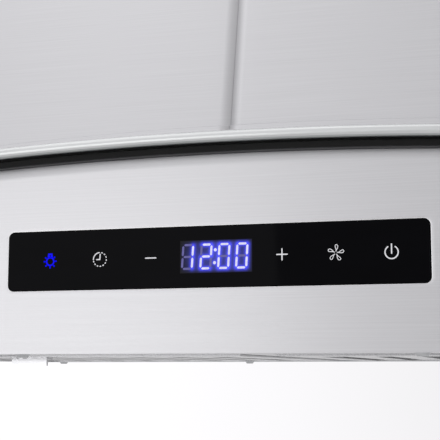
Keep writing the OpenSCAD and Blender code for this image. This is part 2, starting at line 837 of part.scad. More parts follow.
module control_housing() {
    front = -body_d + sheet;
    ledge = panel_face + panel_t;
    back = housing_back_y - 1.5;
    color(black) {
        difference() {
            panel_box(108, housing_h / 2, front, housing_back_y);
            panel_box(panel_w / 2 + 0.5, panel_h / 2 + 0.5, front - 1, ledge);
            panel_box(panel_w / 2 - 3, panel_h / 2 - 2.5, front - 1, back);
            panel_box(104, housing_h / 2 - 4, ledge + 2, back);
            along_y(60, back - 5, 46) cylinder(r = 3.6, h = 10, $fn = round_fn);
        }
        for (x = [-90, 90]) for (z = [-9, 9]) along_y(x, board_y + board_t, panel_z + z)
            cylinder(r = 3, h = back - board_y - board_t + 0.5, $fn = round_fn);
    }
}

module control_board() {
    color(board_green) panel_box(101, 14, board_y, board_y + board_t);
}

module display_module() {
    color(white) block([-15.8, panel_face + panel_t, panel_z - 8.3], [17.4, board_y, panel_z + 8.3]);
}

module touch_springs() {
    color(copper) for (x = key_x) along_y(x, panel_face + panel_t, panel_z)
        tube(4, 3.2, board_y - panel_face - panel_t);
}

// ---- lamps ----

module lamp_bezels() {
    color(steel) for (x = [-lamp_x, lamp_x]) translate([x, lamp_y, 0]) {
        translate([0, 0, -lamp_lip]) tube(lamp_r + 3, lamp_r - 3, sheet + lamp_lip);
        translate([0, 0, -lamp_lip]) tube(lamp_r - 2, lamp_r - 5, 0.6);
        tube(lamp_r - 0.3, lamp_r - 3, 14);
        translate([0, 0, lamp_board_z - 1]) tube(lamp_r - 2, lamp_r - 5.5, 1);
    }
}

module lamp_lenses() {
    color(white) for (x = [-lamp_x, lamp_x])
        translate([x, lamp_y, 0.6 - lamp_lip]) cylinder(r = lamp_r - 3.1, h = 2, $fn = round_fn);
}

module lamp_boards() {
    color(white) for (x = [-lamp_x, lamp_x]) translate([x, lamp_y, lamp_board_z]) {
        cylinder(r = lamp_r - 3.2, h = 1.6, $fn = round_fn);
        for (i = [0:5]) rotate([0, 0, 60 * i]) translate([16, 0, -0.9])
            block([-1.8, -1.8, 0], [1.8, 1.8, 1]);
    }
}

// ---- grease filters, drawn about their own middle ----

module filter_frame() {
    hw = filter_w / 2;
    hd = filter_d / 2;
    strip_y = -hd + front_strip;
    difference() {
        block([-hw, -hd, 0], [hw, hd, filter_t]);
        block([-hw + skin, -hd + skin, skin], [hw - skin, hd - skin, filter_t - skin]);
        block([-hw + 14, strip_y, -1], [hw - 14, hd - 14, 1]);
        block([-hw + 10, -hd + 10, filter_t - 1], [hw - 10, hd - 10, filter_t + 1]);
        block([-12.5, -hd + 12.5, -1], [12.5, -hd + 30.5, 1]);
        block([-6.5, -hd - 1, skin], [6.5, -hd + 1, 3]);
    }
    block([-hw + skin / 2, strip_y - 3, skin / 2], [hw - skin / 2, strip_y - 3 + skin, filter_t - skin / 2]);
    for (x = [-17.5, 15.5]) block([x, -hd + 10, skin / 2], [x + 2, -hd + 34, 3.8]);
    for (x = [-17.5, 12]) block([x, -hd + 10, 3], [x + 5.5, -hd + 34, 3.8]);
    for (x = [-hw - 5, hw - skin]) translate([x, hd - 3, filter_pin_z]) rotate([0, 90, 0])
        cylinder(r = filter_pin_r, h = 5 + skin, $fn = round_fn);
}

// Channel with its open side up, from y0 to y1
module channel(x, y0, y1, z, h) {
    difference() {
        block([x - baffle_w / 2, y0, z], [x + baffle_w / 2, y1, z + h]);
        block([x - baffle_w / 2 + skin, y0 - 1, z + skin], [x + baffle_w / 2 - skin, y1 + 1, z + h + 1]);
    }
}

module filter_baffles() {
    y0 = -filter_d / 2 + front_strip - 1.6;
    y1 = filter_d / 2 - 6;
    for (i = [-3.5:3.5]) channel(i * baffle_pitch, y0, y1, skin, 5.4);
    translate([0, 0, filter_t]) mirror([0, 0, 1]) for (i = [-4:4])
        channel(i * baffle_pitch, y0, y1, skin, 5.4);
}

module filter_latch() {
    hd = filter_d / 2;
    block([-15, -hd + 11.5, 1], [15, -hd + 23.5, 2.6]);
    block([-6, -hd - 1.7, 1], [6, -hd + 12, 2.6]);
    block([-11, -hd + 13.5, -1.5], [11, -hd + 22.5, 1.2]);
    block([-11, -hd + 13.5, -5], [11, -hd + 15.5, -1.4]);
    block([-9, -hd + 21.5, 2], [9, -hd + 23.5, 6.5]);
}

module filter_spring() {
    turns = 5;
    y0 = -filter_d / 2 + 24.1;
    length = front_strip - 3 - 24.6;
    path = [for (i = [0:turns * 10])
        [2.2 * cos(36 * i), y0 + 0.4 + (length - 0.8) * i / (turns * 10), 4.2 + 2.2 * sin(36 * i)]];
    sweep(path, 0.35, 6);
}

module on_left() { translate([-filter_x, filter_y, 0]) children(); }
module on_right() { translate([filter_x, filter_y, 0]) children(); }

module filter_left_frame() { color(steel) on_left() filter_frame(); }
module filter_left_baffles() { color(steel) on_left() filter_baffles(); }
module filter_left_latch() { color(dark_steel) on_left() filter_latch(); }
module filter_left_spring() { color(zinc) on_left() filter_spring(); }
module filter_right_frame() { color(steel) on_right() filter_frame(); }
module filter_right_baffles() { color(steel) on_right() filter_baffles(); }
module filter_right_latch() { color(dark_steel) on_right() filter_latch(); }
module filter_right_spring() { color(zinc) on_right() filter_spring(); }

fascia();
side_panel_left();
side_panel_right();
back_panel();
top_deck();
bottom_frame();
body_screws();
glass_visor();
front_seal();
side_seals();
glass_bolts();
glass_washers();
glass_spacers();
glass_nuts();
tower_left();
tower_right();
joint_strip();
base_trim();
tower_brackets();
chimney();
chimney_bracket();
chimney_screws();
blower_scroll();
blower_plates();
inlet_rings();
blower_standoffs();
fan_wheel();
fan_blades();
motor_shaft();
wheel_nut();
motor();
motor_bracket();
duct_collar();
damper_pins();
damper_flap_left();
damper_flap_right();
electronics_box();
electronics_cover();
run_capacitor();
terminal_block();
cable_gland();
control_cable();
cable_clips();
motor_cable();
control_glass();
control_housing();
control_board();
display_module();
touch_springs();
lamp_bezels();
lamp_lenses();
lamp_boards();
filter_left_frame();
filter_left_baffles();
filter_left_latch();
filter_left_spring();
filter_right_frame();
filter_right_baffles();
filter_right_latch();
filter_right_spring();
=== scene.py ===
"""Looks of a wall-mounted range hood with an arched glass visor, a steel tower and a touch panel.

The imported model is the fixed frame, and the pieces made here ride on its bodies. Sizes in the classes are in
millimetres, with x to the right, y into the wall and z up. Meshes and lights are in metres.
"""

import logging
import math
from collections.abc import Callable, Sequence
from dataclasses import dataclass, field
from enum import Enum
from functools import cached_property

import bmesh
import bpy
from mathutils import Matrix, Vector


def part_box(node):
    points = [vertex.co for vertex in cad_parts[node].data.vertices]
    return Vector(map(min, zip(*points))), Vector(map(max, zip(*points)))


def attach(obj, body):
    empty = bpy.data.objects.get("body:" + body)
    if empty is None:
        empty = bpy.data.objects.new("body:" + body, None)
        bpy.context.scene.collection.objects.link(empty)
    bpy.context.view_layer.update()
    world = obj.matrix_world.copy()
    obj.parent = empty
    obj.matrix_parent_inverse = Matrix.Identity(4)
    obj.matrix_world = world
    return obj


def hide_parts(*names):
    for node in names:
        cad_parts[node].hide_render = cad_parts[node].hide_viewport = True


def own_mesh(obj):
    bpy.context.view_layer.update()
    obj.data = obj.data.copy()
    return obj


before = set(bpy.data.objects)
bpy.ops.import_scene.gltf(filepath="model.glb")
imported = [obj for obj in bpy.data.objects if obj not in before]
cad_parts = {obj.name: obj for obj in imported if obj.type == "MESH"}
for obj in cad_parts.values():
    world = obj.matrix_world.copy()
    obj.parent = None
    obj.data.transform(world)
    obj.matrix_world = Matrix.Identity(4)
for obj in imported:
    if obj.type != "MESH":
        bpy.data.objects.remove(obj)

log = logging.getLogger("range_hood")
MM = 0.001
WELD_MM = 0.002
ROUND_ABOVE_DEGREES = 40
GLASS_IOR = 1.52
PATTERN_LOW, PATTERN_HIGH = 0.3, 0.7

Point2 = tuple[float, float]
Point3 = tuple[float, float, float]
Socket = bpy.types.NodeSocket


# ---- colours and shader nodes ----


def linear(code: str, alpha: float = 1.0) -> tuple[float, float, float, float]:
    """Turns an sRGB hex colour to the linear values that shaders use.

    Args:
        code: Six hex digits, such as "C8C9CC".
        alpha: Opacity to append.

    Returns:
        Linear red, green and blue, then alpha.
    """
    parts = [int(code[i:i + 2], 16) / 255 for i in (0, 2, 4)]
    values = [p / 12.92 if p <= 0.04045 else ((p + 0.055) / 1.055) ** 2.4 for p in parts]
    return (values[0], values[1], values[2], alpha)


def add_node(tree: bpy.types.NodeTree, kind: str, settings: dict | None = None,
             links: dict | None = None) -> bpy.types.Node:
    """Adds a node, sets it and links its inputs.

    Args:
        tree: Node tree to add to.
        kind: Blender's name for the kind of node.
        settings: Values by input name, input number or attribute name.
        links: Sockets to link from, by input name or number.

    Returns:
        The new node.
    """
    node = tree.nodes.new(kind)
    for key, value in (settings or {}).items():
        if isinstance(key, int) or key in node.inputs:
            node.inputs[key].default_value = value
        else:
            setattr(node, key, value)
    for key, socket in (links or {}).items():
        tree.links.new(socket, node.inputs[key])
    return node


def set_ramp(node: bpy.types.Node, stops: Sequence[tuple[float, tuple]]) -> bpy.types.Node:
    """Gives a colour ramp its stops.

    Args:
        node: Colour ramp node.
        stops: Place from 0 to 1 and linear colour of each stop, in order.

    Returns:
        The same node.
    """
    ramp = node.color_ramp
    while len(ramp.elements) < len(stops):
        ramp.elements.new(0.5)
    for element, (place, colour) in zip(ramp.elements, stops):
        element.position = place
        element.color = colour
    return node


class Grain(Enum):
    """Direction in which a sheet was brushed or rolled, as the axes that a scratch runs along."""

    LEVEL = (True, True, False)
    ALONG_X = (True, False, False)
    ALONG_Y = (False, True, False)
    UP = (False, False, True)


@dataclass(frozen=True)
class Finish:
    """A real surface. Subclasses add the nodes that show how it was made."""

    name: str
    hue: str
    roughness: float

    def draw(self, tree: bpy.types.NodeTree, shader: bpy.types.Node) -> None:
        """Adds this finish's nodes to a material that has its colour and roughness already.

        Args:
            tree: The material's node tree.
            shader: Its Principled shader.
        """

    def material(self) -> bpy.types.Material:
        """Makes this finish's material the first time it is asked for.

        Returns:
            The material, which every piece with this finish shares.
        """
        made = bpy.data.materials.get(self.name)
        if made:
            return made
        made = bpy.data.materials.new(self.name)
        made.use_nodes = True
        tree = made.node_tree
        shader = tree.nodes["Principled BSDF"]
        shader.inputs["Base Color"].default_value = linear(self.hue)
        shader.inputs["Roughness"].default_value = self.roughness
        made.diffuse_color = linear(self.hue)
        self.draw(tree, shader)
        return made

    def noise(self, tree: bpy.types.NodeTree, size_mm: Point3, detail: float = 3.0) -> Socket:
        """Adds noise whose blotches have a real size along each axis.

        Args:
            tree: Node tree to add to.
            size_mm: Length of a blotch along x, y and z.
            detail: Octaves of finer noise on top.

        Returns:
            The socket with the noise, from 0 to 1 and 0.5 on average.
        """
        scale = tuple(1 / (size * MM) for size in size_mm)
        place = add_node(tree, "ShaderNodeTexCoord").outputs["Object"]
        mapped = add_node(tree, "ShaderNodeMapping", {"Scale": scale}, {"Vector": place})
        made = add_node(tree, "ShaderNodeTexNoise", {"Scale": 1.0, "Detail": detail, "Roughness": 0.6},
                        {"Vector": mapped.outputs[0]})
        return made.outputs[0]

    def cells(self, tree: bpy.types.NodeTree, size_mm: float, **settings: str) -> bpy.types.Node:
        """Adds a pattern of cells with a real size.

        Args:
            tree: Node tree to add to.
            size_mm: Width of a cell.
            settings: Other attributes of the node.

        Returns:
            The node, which gives each cell a colour and the distance within it.
        """
        place = add_node(tree, "ShaderNodeTexCoord").outputs["Object"]
        return add_node(tree, "ShaderNodeTexVoronoi", {**settings, "Scale": 1 / (size_mm * MM)},
                        {"Vector": place})

    def vary(self, tree: bpy.types.NodeTree, shader: bpy.types.Node, height: Socket, spread: float,
             tones: tuple[str, str], depth_mm: float) -> None:
        """Drives roughness, colour and bump from one pattern.

        Args:
            tree: Node tree to add to.
            shader: Principled shader to link to.
            height: Pattern from 0 to 1.
            spread: Half of the range of the roughness.
            tones: Hex colours at the pattern's low and high ends.
            depth_mm: Height of the relief.
        """
        rough = add_node(tree, "ShaderNodeMapRange", {
            "From Min": PATTERN_LOW, "From Max": PATTERN_HIGH,
            "To Min": max(self.roughness - spread, 0.0), "To Max": self.roughness + spread,
        }, {"Value": height})
        tone = set_ramp(add_node(tree, "ShaderNodeValToRGB", links={"Fac": height}),
                        [(PATTERN_LOW, linear(tones[0])), (PATTERN_HIGH, linear(tones[1]))])
        bump = add_node(tree, "ShaderNodeBump", {"Strength": 1.0, "Distance": depth_mm * MM},
                        {"Height": height})
        tree.links.new(rough.outputs[0], shader.inputs["Roughness"])
        tree.links.new(tone.outputs[0], shader.inputs["Base Color"])
        tree.links.new(bump.outputs[0], shader.inputs["Normal"])


@dataclass(frozen=True)
class BrushedSteel(Finish):
    """Stainless sheet brushed one way: fine even scratches that smear reflections across the grain."""

    grain: Grain = Grain.LEVEL
    tones: tuple[str, str] = ("C6C6C8", "CECED0")
    scratch_mm: float = 0.4
    length_mm: float = 70.0
    depth_mm: float = 0.0022

    def draw(self, tree: bpy.types.NodeTree, shader: bpy.types.Node) -> None:
        """Adds long thin scratches. Real ones are 0.05 mm wide; these are drawn coarser so that they show."""
        shader.inputs["Metallic"].default_value = 1.0
        size = tuple(self.length_mm if along else self.scratch_mm for along in self.grain.value)
        self.vary(tree, shader, self.noise(tree, size), 0.05, self.tones, self.depth_mm)
        if self.grain is Grain.LEVEL:
            shader.inputs["Anisotropic"].default_value = 0.55
            shader.inputs["Anisotropic Rotation"].default_value = 0.25
            round_z = add_node(tree, "ShaderNodeTangent", {"direction_type": "RADIAL", "axis": "Z"})
            tree.links.new(round_z.outputs[0], shader.inputs["Tangent"])


@dataclass(frozen=True)
class GalvanisedSheet(Finish):
    """Hot-dip galvanised sheet: zinc crystals a few millimetres wide, each a slightly different grey."""

    crystal_mm: float = 7.0

    def draw(self, tree: bpy.types.NodeTree, shader: bpy.types.Node) -> None:
        """Adds the crystals as cells."""
        shader.inputs["Metallic"].default_value = 0.85
        crystals = self.cells(tree, self.crystal_mm)
        flat = add_node(tree, "ShaderNodeSeparateColor", links={"Color": crystals.outputs["Color"]})
        self.vary(tree, shader, flat.outputs[0], 0.09, ("9A9EA1", "AEB1B3"), 0.004)


@dataclass(frozen=True)
class PlatedSteel(Finish):
    """Plated or polished metal on a turned or pressed part: smooth, with a faint unevenness."""

    tones: tuple[str, str] = ("B6B8BA", "CCCDCF")

    def draw(self, tree: bpy.types.NodeTree, shader: bpy.types.Node) -> None:
        """Adds soft blotches 2.5 mm across."""
        shader.inputs["Metallic"].default_value = 1.0
        self.vary(tree, shader, self.noise(tree, (2.5, 2.5, 1.2)), 0.06, self.tones, 0.003)


@dataclass(frozen=True)
class CastAluminium(Finish):
    """Die-cast aluminium housing: a pale metal with a fine pebbled skin."""

    def draw(self, tree: bpy.types.NodeTree, shader: bpy.types.Node) -> None:
        """Adds the pebbled skin, 0.6 mm across."""
        shader.inputs["Metallic"].default_value = 1.0
        self.vary(tree, shader, self.noise(tree, (0.6, 0.6, 0.6), 2.0), 0.08, ("9C9EA0", "B9BABB"), 0.02)


@dataclass(frozen=True)
class PaintedSteel(Finish):
    """Sprayed enamel on steel: a plain colour with a slight orange-peel surface."""

    tones: tuple[str, str] = ("17181A", "222326")

    def draw(self, tree: bpy.types.NodeTree, shader: bpy.types.Node) -> None:
        """Adds orange peel 1.5 mm across."""
        shader.inputs["Specular IOR Level"].default_value = 0.5
        self.vary(tree, shader, self.noise(tree, (1.5, 1.5, 1.5), 1.0), 0.05, self.tones, 0.01)


@dataclass(frozen=True)
class MouldedPlastic(Finish):
    """Injection-moulded ABS, nylon or polyamide: an even colour with a fine spark-eroded texture."""

    tones: tuple[str, str] = ("0E0E0F", "151516")
    grit_mm: float = 0.35

    def draw(self, tree: bpy.types.NodeTree, shader: bpy.types.Node) -> None:
        """Adds the mould's texture, one grit size across."""
        grit = self.grit_mm
        self.vary(tree, shader, self.noise(tree, (grit, grit, grit), 2.0), 0.07, self.tones, 0.012)


@dataclass(frozen=True)
class ExtrudedRubber(Finish):
    """Extruded EPDM rubber: near black and dull, with faint lines along its length."""

    tones: tuple[str, str] = ("050505", "0A0A0B")

    def draw(self, tree: bpy.types.NodeTree, shader: bpy.types.Node) -> None:
        """Adds the lines that the die leaves, 1 mm apart, and turns the shine down."""
        shader.inputs["Specular IOR Level"].default_value = 0.3
        self.vary(tree, shader, self.noise(tree, (30.0, 1.0, 0.7)), 0.06, self.tones, 0.01)


@dataclass(frozen=True)
class ClearGlass(Finish):
    """Toughened soda-lime glass: clear, with a faint green in its depth and fingertip smudges."""

    clarity: float = 1.0

    def draw(self, tree: bpy.types.NodeTree, shader: bpy.types.Node) -> None:
        """Makes it transparent and adds smudges 40 mm across."""
        shader.inputs["Transmission Weight"].default_value = self.clarity
        shader.inputs["IOR"].default_value = GLASS_IOR
        smudges = self.noise(tree, (40.0, 40.0, 40.0), 4.0)
        rough = add_node(tree, "ShaderNodeMapRange", {
            "From Min": 0.45, "From Max": 0.75, "To Min": self.roughness, "To Max": self.roughness + 0.04,
        }, {"Value": smudges})
        tree.links.new(rough.outputs[0], shader.inputs["Roughness"])


@dataclass(frozen=True)
class GroundGlassEdge(Finish):
    """The visor's edge, ground round and polished: it gathers light, so it looks milky and bright."""

    tones: tuple[str, str] = ("DDDFDF", "EAECEC")
    coat: float = 0.5

    def draw(self, tree: bpy.types.NodeTree, shader: bpy.types.Node) -> None:
        """Makes it part clear and mirror-bright, with the grinding wheel's marks along the edge."""
        shader.inputs["Transmission Weight"].default_value = 0.3
        shader.inputs["Metallic"].default_value = 0.45
        shader.inputs["IOR"].default_value = GLASS_IOR
        shader.inputs["Coat Weight"].default_value = self.coat
        shader.inputs["Coat Roughness"].default_value = 0.09
        marks = self.noise(tree, (60.0, 60.0, 1.2))
        self.vary(tree, shader, marks, 0.04, self.tones, 0.0015)


@dataclass(frozen=True)
class BackPrintedGlass(Finish):
    """Toughened glass printed black on its back: a deep black under a mirror-smooth face."""

    def draw(self, tree: bpy.types.NodeTree, shader: bpy.types.Node) -> None:
        """Adds an anti-reflective face, which keeps the black deep, and faint wiping smears."""
        shader.inputs["IOR"].default_value = GLASS_IOR
        shader.inputs["Specular IOR Level"].default_value = 0.04
        smears = self.noise(tree, (35.0, 35.0, 12.0), 4.0)
        self.vary(tree, shader, smears, 0.025, ("010103", "030306"), 0.0004)


@dataclass(frozen=True)
class LitInk(Finish):
    """Translucent ink lit from behind: an even glow with a slightly uneven print."""

    glow: float = 1.0

    def draw(self, tree: bpy.types.NodeTree, shader: bpy.types.Node) -> None:
        """Lights the ink, a little unevenly over 1.5 mm."""
        shader.inputs["Base Color"].default_value = linear("0A0A0C")
        shader.inputs["Specular IOR Level"].default_value = 0.05
        uneven = self.noise(tree, (1.5, 1.5, 1.5), 1.0)
        bright = linear(self.hue)
        dim = tuple(0.86 * value for value in bright[:3]) + (1.0,)
        tone = set_ramp(add_node(tree, "ShaderNodeValToRGB", links={"Fac": uneven}),
                        [(0.35, dim), (0.65, bright)])
        tree.links.new(tone.outputs[0], shader.inputs["Emission Color"])
        shader.inputs["Emission Strength"].default_value = self.glow


@dataclass(frozen=True)
class DisplayGlow(Finish):
    """The filter film in front of the clock: dark where its diodes are off, blue where they shine through."""

    layer: str = "glow"

    def draw(self, tree: bpy.types.NodeTree, shader: bpy.types.Node) -> None:
        """Lights the film from the colour that its mesh holds, with a grain 0.3 mm across."""
        shader.inputs["Base Color"].default_value = linear("08080C")
        shader.inputs["Specular IOR Level"].default_value = 0.15
        light = add_node(tree, "ShaderNodeAttribute", {"attribute_name": self.layer})
        grain = self.noise(tree, (0.3, 0.3, 0.3), 1.0)
        strength = add_node(tree, "ShaderNodeMapRange", {
            "From Min": PATTERN_LOW, "From Max": PATTERN_HIGH, "To Min": 0.82, "To Max": 1.18,
        }, {"Value": grain})
        tree.links.new(light.outputs["Color"], shader.inputs["Emission Color"])
        tree.links.new(strength.outputs[0], shader.inputs["Emission Strength"])


@dataclass(frozen=True)
class SolderMask(Finish):
    """A printed circuit board: green lacquer over copper tracks that show as lighter lines."""

    def draw(self, tree: bpy.types.NodeTree, shader: bpy.types.Node) -> None:
        """Adds the tracks as cells 3 mm wide."""
        tracks = self.cells(tree, 3, feature="DISTANCE_TO_EDGE", distance="MANHATTAN")
        self.vary(tree, shader, tracks.outputs[0], 0.05, ("2B6B3C", "0F3B1E"), 0.03)


@dataclass(frozen=True)
class FrostedLens(Finish):
    """A moulded lamp lens: frosted clear plastic that scatters the light behind it."""

    glow: float = 0.0

    def draw(self, tree: bpy.types.NodeTree, shader: bpy.types.Node) -> None:
        """Makes it milky, with a pattern of 1.2 mm dimples."""
        shader.inputs["Transmission Weight"].default_value = 0.6
        shader.inputs["Emission Color"].default_value = linear("FFF6E6")
        shader.inputs["Emission Strength"].default_value = self.glow
        dimples = self.cells(tree, 1.2)
        self.vary(tree, shader, dimples.outputs["Distance"], 0.05, ("E6E6E3", "F2F2EF"), 0.12)


@dataclass(frozen=True)
class MattPaint(Finish):
    """Pale matt paint on the studio floor."""

    def draw(self, tree: bpy.types.NodeTree, shader: bpy.types.Node) -> None:
        """Adds a roller's faint blotches, 60 mm across."""
        self.vary(tree, shader, self.noise(tree, (60.0, 60.0, 60.0)), 0.03, ("E9E9E8", "EFEFEE"), 0.05)


LEVEL_STEEL = BrushedSteel("level_brushed_stainless", "C9C9CB", 0.34)
FLAT_STEEL = BrushedSteel("lengthwise_brushed_stainless", "C9C9CB", 0.33, Grain.ALONG_X)
FILTER_STEEL = BrushedSteel("mill_finish_stainless", "C2C2C4", 0.28, Grain.ALONG_Y, ("BBBBBD", "CACACC"), 0.8)
GALVANISED = GalvanisedSheet("hot_dip_galvanised_sheet", "A6A9AB", 0.42)
ZINC_PLATE = PlatedSteel("zinc_plated_steel", "C2C4C6", 0.3)
POLISHED_STEEL = PlatedSteel("polished_stainless", "D6D6D8", 0.14, ("D0D0D2", "DDDDDF"))
# A lighter tone than the fascia's steel: a painted highlight along the rim of the panel's hole.
HOLE_RIM_PAINTED_HIGHLIGHT = PlatedSteel("hole_rim_painted_highlight", "F4F4F4", 0.3, ("F0F0F1", "F8F8F8"))
PHOSPHOR_BRONZE = PlatedSteel("phosphor_bronze", "C08A55", 0.28, ("B07A48", "CC9660"))
MOTOR_CASTING = CastAluminium("die_cast_aluminium", "ABADAF", 0.45)
ROLLED_ALUMINIUM = BrushedSteel("rolled_aluminium", "C6C8CA", 0.36, Grain.ALONG_X, ("BFC1C3", "CED0D2"), 0.7)
WHEEL_PAINT = PaintedSteel("black_stoved_enamel", "1D1E20", 0.38)
JOINT_PAINT = PaintedSteel("dark_grey_satin_paint", "55565A", 0.5, ("4E4F53", "5C5D61"))
BORDER_ENAMEL = PaintedSteel("black_fired_enamel", "070708", 0.22, ("050506", "09090A"))
SEAL_RUBBER = ExtrudedRubber("extruded_epdm_rubber", "070707", 0.55)
# A lighter grey than the seal's near-black rubber: a painted highlight along the lip.
SEAL_LIP_PAINTED_HIGHLIGHT = ExtrudedRubber("rubber_lip_painted_highlight", "454547", 0.4, ("404042", "4A4A4C"))
CABLE_JACKET = MouldedPlastic("black_pvc_jacket", "101011", 0.42)
BLACK_ABS = MouldedPlastic("black_moulded_abs", "111112", 0.48)
GLAND_NYLON = MouldedPlastic("black_moulded_nylon", "131314", 0.4)
NATURAL_NYLON = MouldedPlastic("natural_nylon", "D8D6CC", 0.42, ("CFCDC2", "DEDCD3"))
TERMINAL_PLASTIC = MouldedPlastic("cream_polyamide", "DAD7C8", 0.4, ("D2CFBF", "E0DDCF"))
CAPACITOR_CASE = MouldedPlastic("white_polypropylene", "E2E2DE", 0.25, ("DADAD5", "E8E8E4"), 1.0)
VISOR_GLASS = ClearGlass("toughened_soda_lime_glass", "EFF7F4", 0.005)
VISOR_EDGE = GroundGlassEdge("ground_and_polished_glass_edge", "E4E8E8", 0.16)
# Darker tones for the lowest rows of the glass's front edge: painted shade.
VISOR_EDGE_PAINTED_SHADE = GroundGlassEdge("glass_edge_foot_painted_shade", "A2A6A6", 0.2, ("B4B8B8", "C0C4C4"), 0.3)
PANEL_GLASS = BackPrintedGlass("black_back_printed_glass", "08080C", 0.035)
WHITE_INK = LitInk("white_lit_ink", "E2E2E6", 0.0, 1.0)
BLUE_INK = LitInk("blue_lit_ink", "0404FF", 0.0, 1.0)
DIGIT_LIGHT = LitInk("lit_clock_segments", "E6E4FF", 0.0, 1.0)
# The unlit segments emit a dim blue: a painted glow, since their diodes are off.
UNLIT_SEGMENT_PAINTED_GLOW = LitInk("unlit_segments_painted_glow", "6A66A2", 0.0, 1.0)
FILM = DisplayGlow("blue_filter_film", "101020", 0.3)
BOARD_GREEN = SolderMask("green_solder_mask", "145026", 0.35)
BOARD_WHITE = MouldedPlastic("white_solder_mask", "E6E6E2", 0.35, ("DEDED9", "ECECE8"))
LAMP_LENS = FrostedLens("frosted_lamp_lens", "ECECEA", 0.35)
LED_PHOSPHOR = LitInk("led_phosphor", "F3E08A", 0.0, 0.9)
FLOOR_PAINT = MattPaint("pale_studio_floor", "ECECEB", 0.6)


# ---- meshes ----


@dataclass
class Shape:
    """Points in millimetres and faces that become one mesh piece."""

    points: list[Point3] = field(default_factory=list)
    faces: list[tuple[int, ...]] = field(default_factory=list)
    finishes: list[int] = field(default_factory=list)

    def face(self, corners: Sequence[Point3], finish: int = 0) -> None:
        """Adds one face with its own corners.

        Args:
            corners: Corners in order, anticlockwise from outside.
            finish: Number of its finish.
        """
        start = len(self.points)
        self.points.extend(corners)
        self.faces.append(tuple(range(start, start + len(corners))))
        self.finishes.append(finish)

    def grid(self, rows: Sequence[Sequence[Point3]], wrap_rows: bool = False, wrap_columns: bool = False,
             finish: Callable[[int], int] = lambda row: 0) -> None:
        """Joins rows of points by four-sided faces.

        Args:
            rows: Rows with the same number of points each.
            wrap_rows: Whether the last row joins the first.
            wrap_columns: Whether each row's last point joins its first.
            finish: Gives the number of the finish for the faces after a row.
        """
        start, width = len(self.points), len(rows[0])
        for row in rows:
            self.points.extend(row)
        for r in range(len(rows) if wrap_rows else len(rows) - 1):
            here, there = start + r * width, start + (r + 1) % len(rows) * width
            for c in range(width if wrap_columns else width - 1):
                d = (c + 1) % width
                self.faces.append((here + c, here + d, there + d, there + c))
                self.finishes.append(finish(r))

    def lathe(self, profile: Sequence[Point2], centre: Point3, axis: str = "z", steps: int = 40) -> None:
        """Turns a profile about an axis.

        Args:
            profile: Radius and height of each point.
            centre: Point on the axis at height 0.
            axis: Letter of the axis that it lies along.
            steps: Steps in a full turn.
        """
        rows = []
        for radius, height in profile:
            row = []
            for i in range(steps):
                a = 2 * math.pi * i / steps
                u, v = radius * math.cos(a), radius * math.sin(a)
                turned = {"x": (height, u, v), "y": (v, height, u), "z": (u, v, height)}[axis]
                row.append(tuple(c + t for c, t in zip(centre, turned)))
            rows.append(row)
        self.grid(rows, wrap_columns=True)

    def tube(self, path: Sequence[Point3], radius: float, sides: int = 10) -> None:
        """Sweeps a round wire along a path and closes its ends.

        Args:
            path: Points along its middle.
            radius: Radius of the wire.
            sides: Number of sides of its round.
        """
        spine = [Vector(p) for p in path]
        rows = []
        side = None
        for i, point in enumerate(spine):
            ahead = (spine[min(i + 1, len(spine) - 1)] - spine[max(i - 1, 0)]).normalized()
            guess = side or (Vector((0, 0, 1)) if abs(ahead.z) < 0.9 else Vector((1, 0, 0)))
            side = (guess - ahead * guess.dot(ahead)).normalized()
            other = ahead.cross(side)
            angles = [2 * math.pi * k / sides for k in range(sides)]
            rows.append([tuple(point + radius * (math.cos(a) * side + math.sin(a) * other)) for a in angles])
        self.grid(rows, wrap_columns=True)
        self.face(rows[0][::-1])
        self.face(rows[-1])

    def piece(self, name: str, body: str, slot: str, *finishes: Finish, smooth: bool = False,
              weld: bool = False) -> bpy.types.Object:
        """Makes the mesh object, gives it its finishes and hangs it on a body.

        Args:
            name: Name of the piece.
            body: CAD body that it moves with.
            slot: Name of a material slot; not used.
            finishes: Finishes by number.
            smooth: Whether its faces are shaded smooth.
            weld: Whether corners in the same place become one.

        Returns:
            The new object.
        """
        mesh = bpy.data.meshes.new(name)
        mesh.from_pydata([tuple(v * MM for v in p) for p in self.points], [], self.faces)
        for finish in finishes:
            mesh.materials.append(finish.material())
        mesh.polygons.foreach_set("material_index", self.finishes)
        mesh.polygons.foreach_set("use_smooth", [smooth] * len(self.faces))
        if weld:
            work = bmesh.new()
            work.from_mesh(mesh)
            bmesh.ops.remove_doubles(work, verts=work.verts, dist=WELD_MM * MM)
            work.to_mesh(mesh)
            work.free()
        mesh.validate()
        made = bpy.data.objects.new(name, mesh)
        bpy.context.scene.collection.objects.link(made)
        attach(made, body)
        log.info("piece %s: %d faces on body %s", name, len(self.faces), body)
        return made


def round_edges(thing: bpy.types.Object, edge_mm: float, segments: int = 2) -> None:
    """Rounds a piece's sharp edges a little, as a press, a mould or a file leaves them.

    Args:
        thing: The piece.
        edge_mm: Width of the round.
        segments: Steps on each round.
    """
    bevel = thing.modifiers.new("edge_round", "BEVEL")
    bevel.limit_method = "ANGLE"
    bevel.angle_limit = math.radians(ROUND_ABOVE_DEGREES)
    bevel.width = edge_mm * MM
    bevel.segments = segments
    bevel.harden_normals = True


def keep_crisp(thing: bpy.types.Object, crease: float = 35.0) -> None:
    """Keeps a smooth piece's edges crisp where they turn by more than an angle in degrees."""
    split = thing.modifiers.new("crisp_edges", "EDGE_SPLIT")
    split.split_angle = math.radians(crease)


def thicken(thing: bpy.types.Object, sheet_mm: float, crease: float = 35.0) -> None:
    """Turns a skin into sheet metal, inwards from its outside.

    Args:
        thing: The skin.
        sheet_mm: Thickness of the sheet.
        crease: Angle in degrees above which an edge stays crisp.
    """
    thick = thing.modifiers.new("sheet_thickness", "SOLIDIFY")
    thick.thickness = sheet_mm * MM
    thick.offset = -1.0
    keep_crisp(thing, crease)


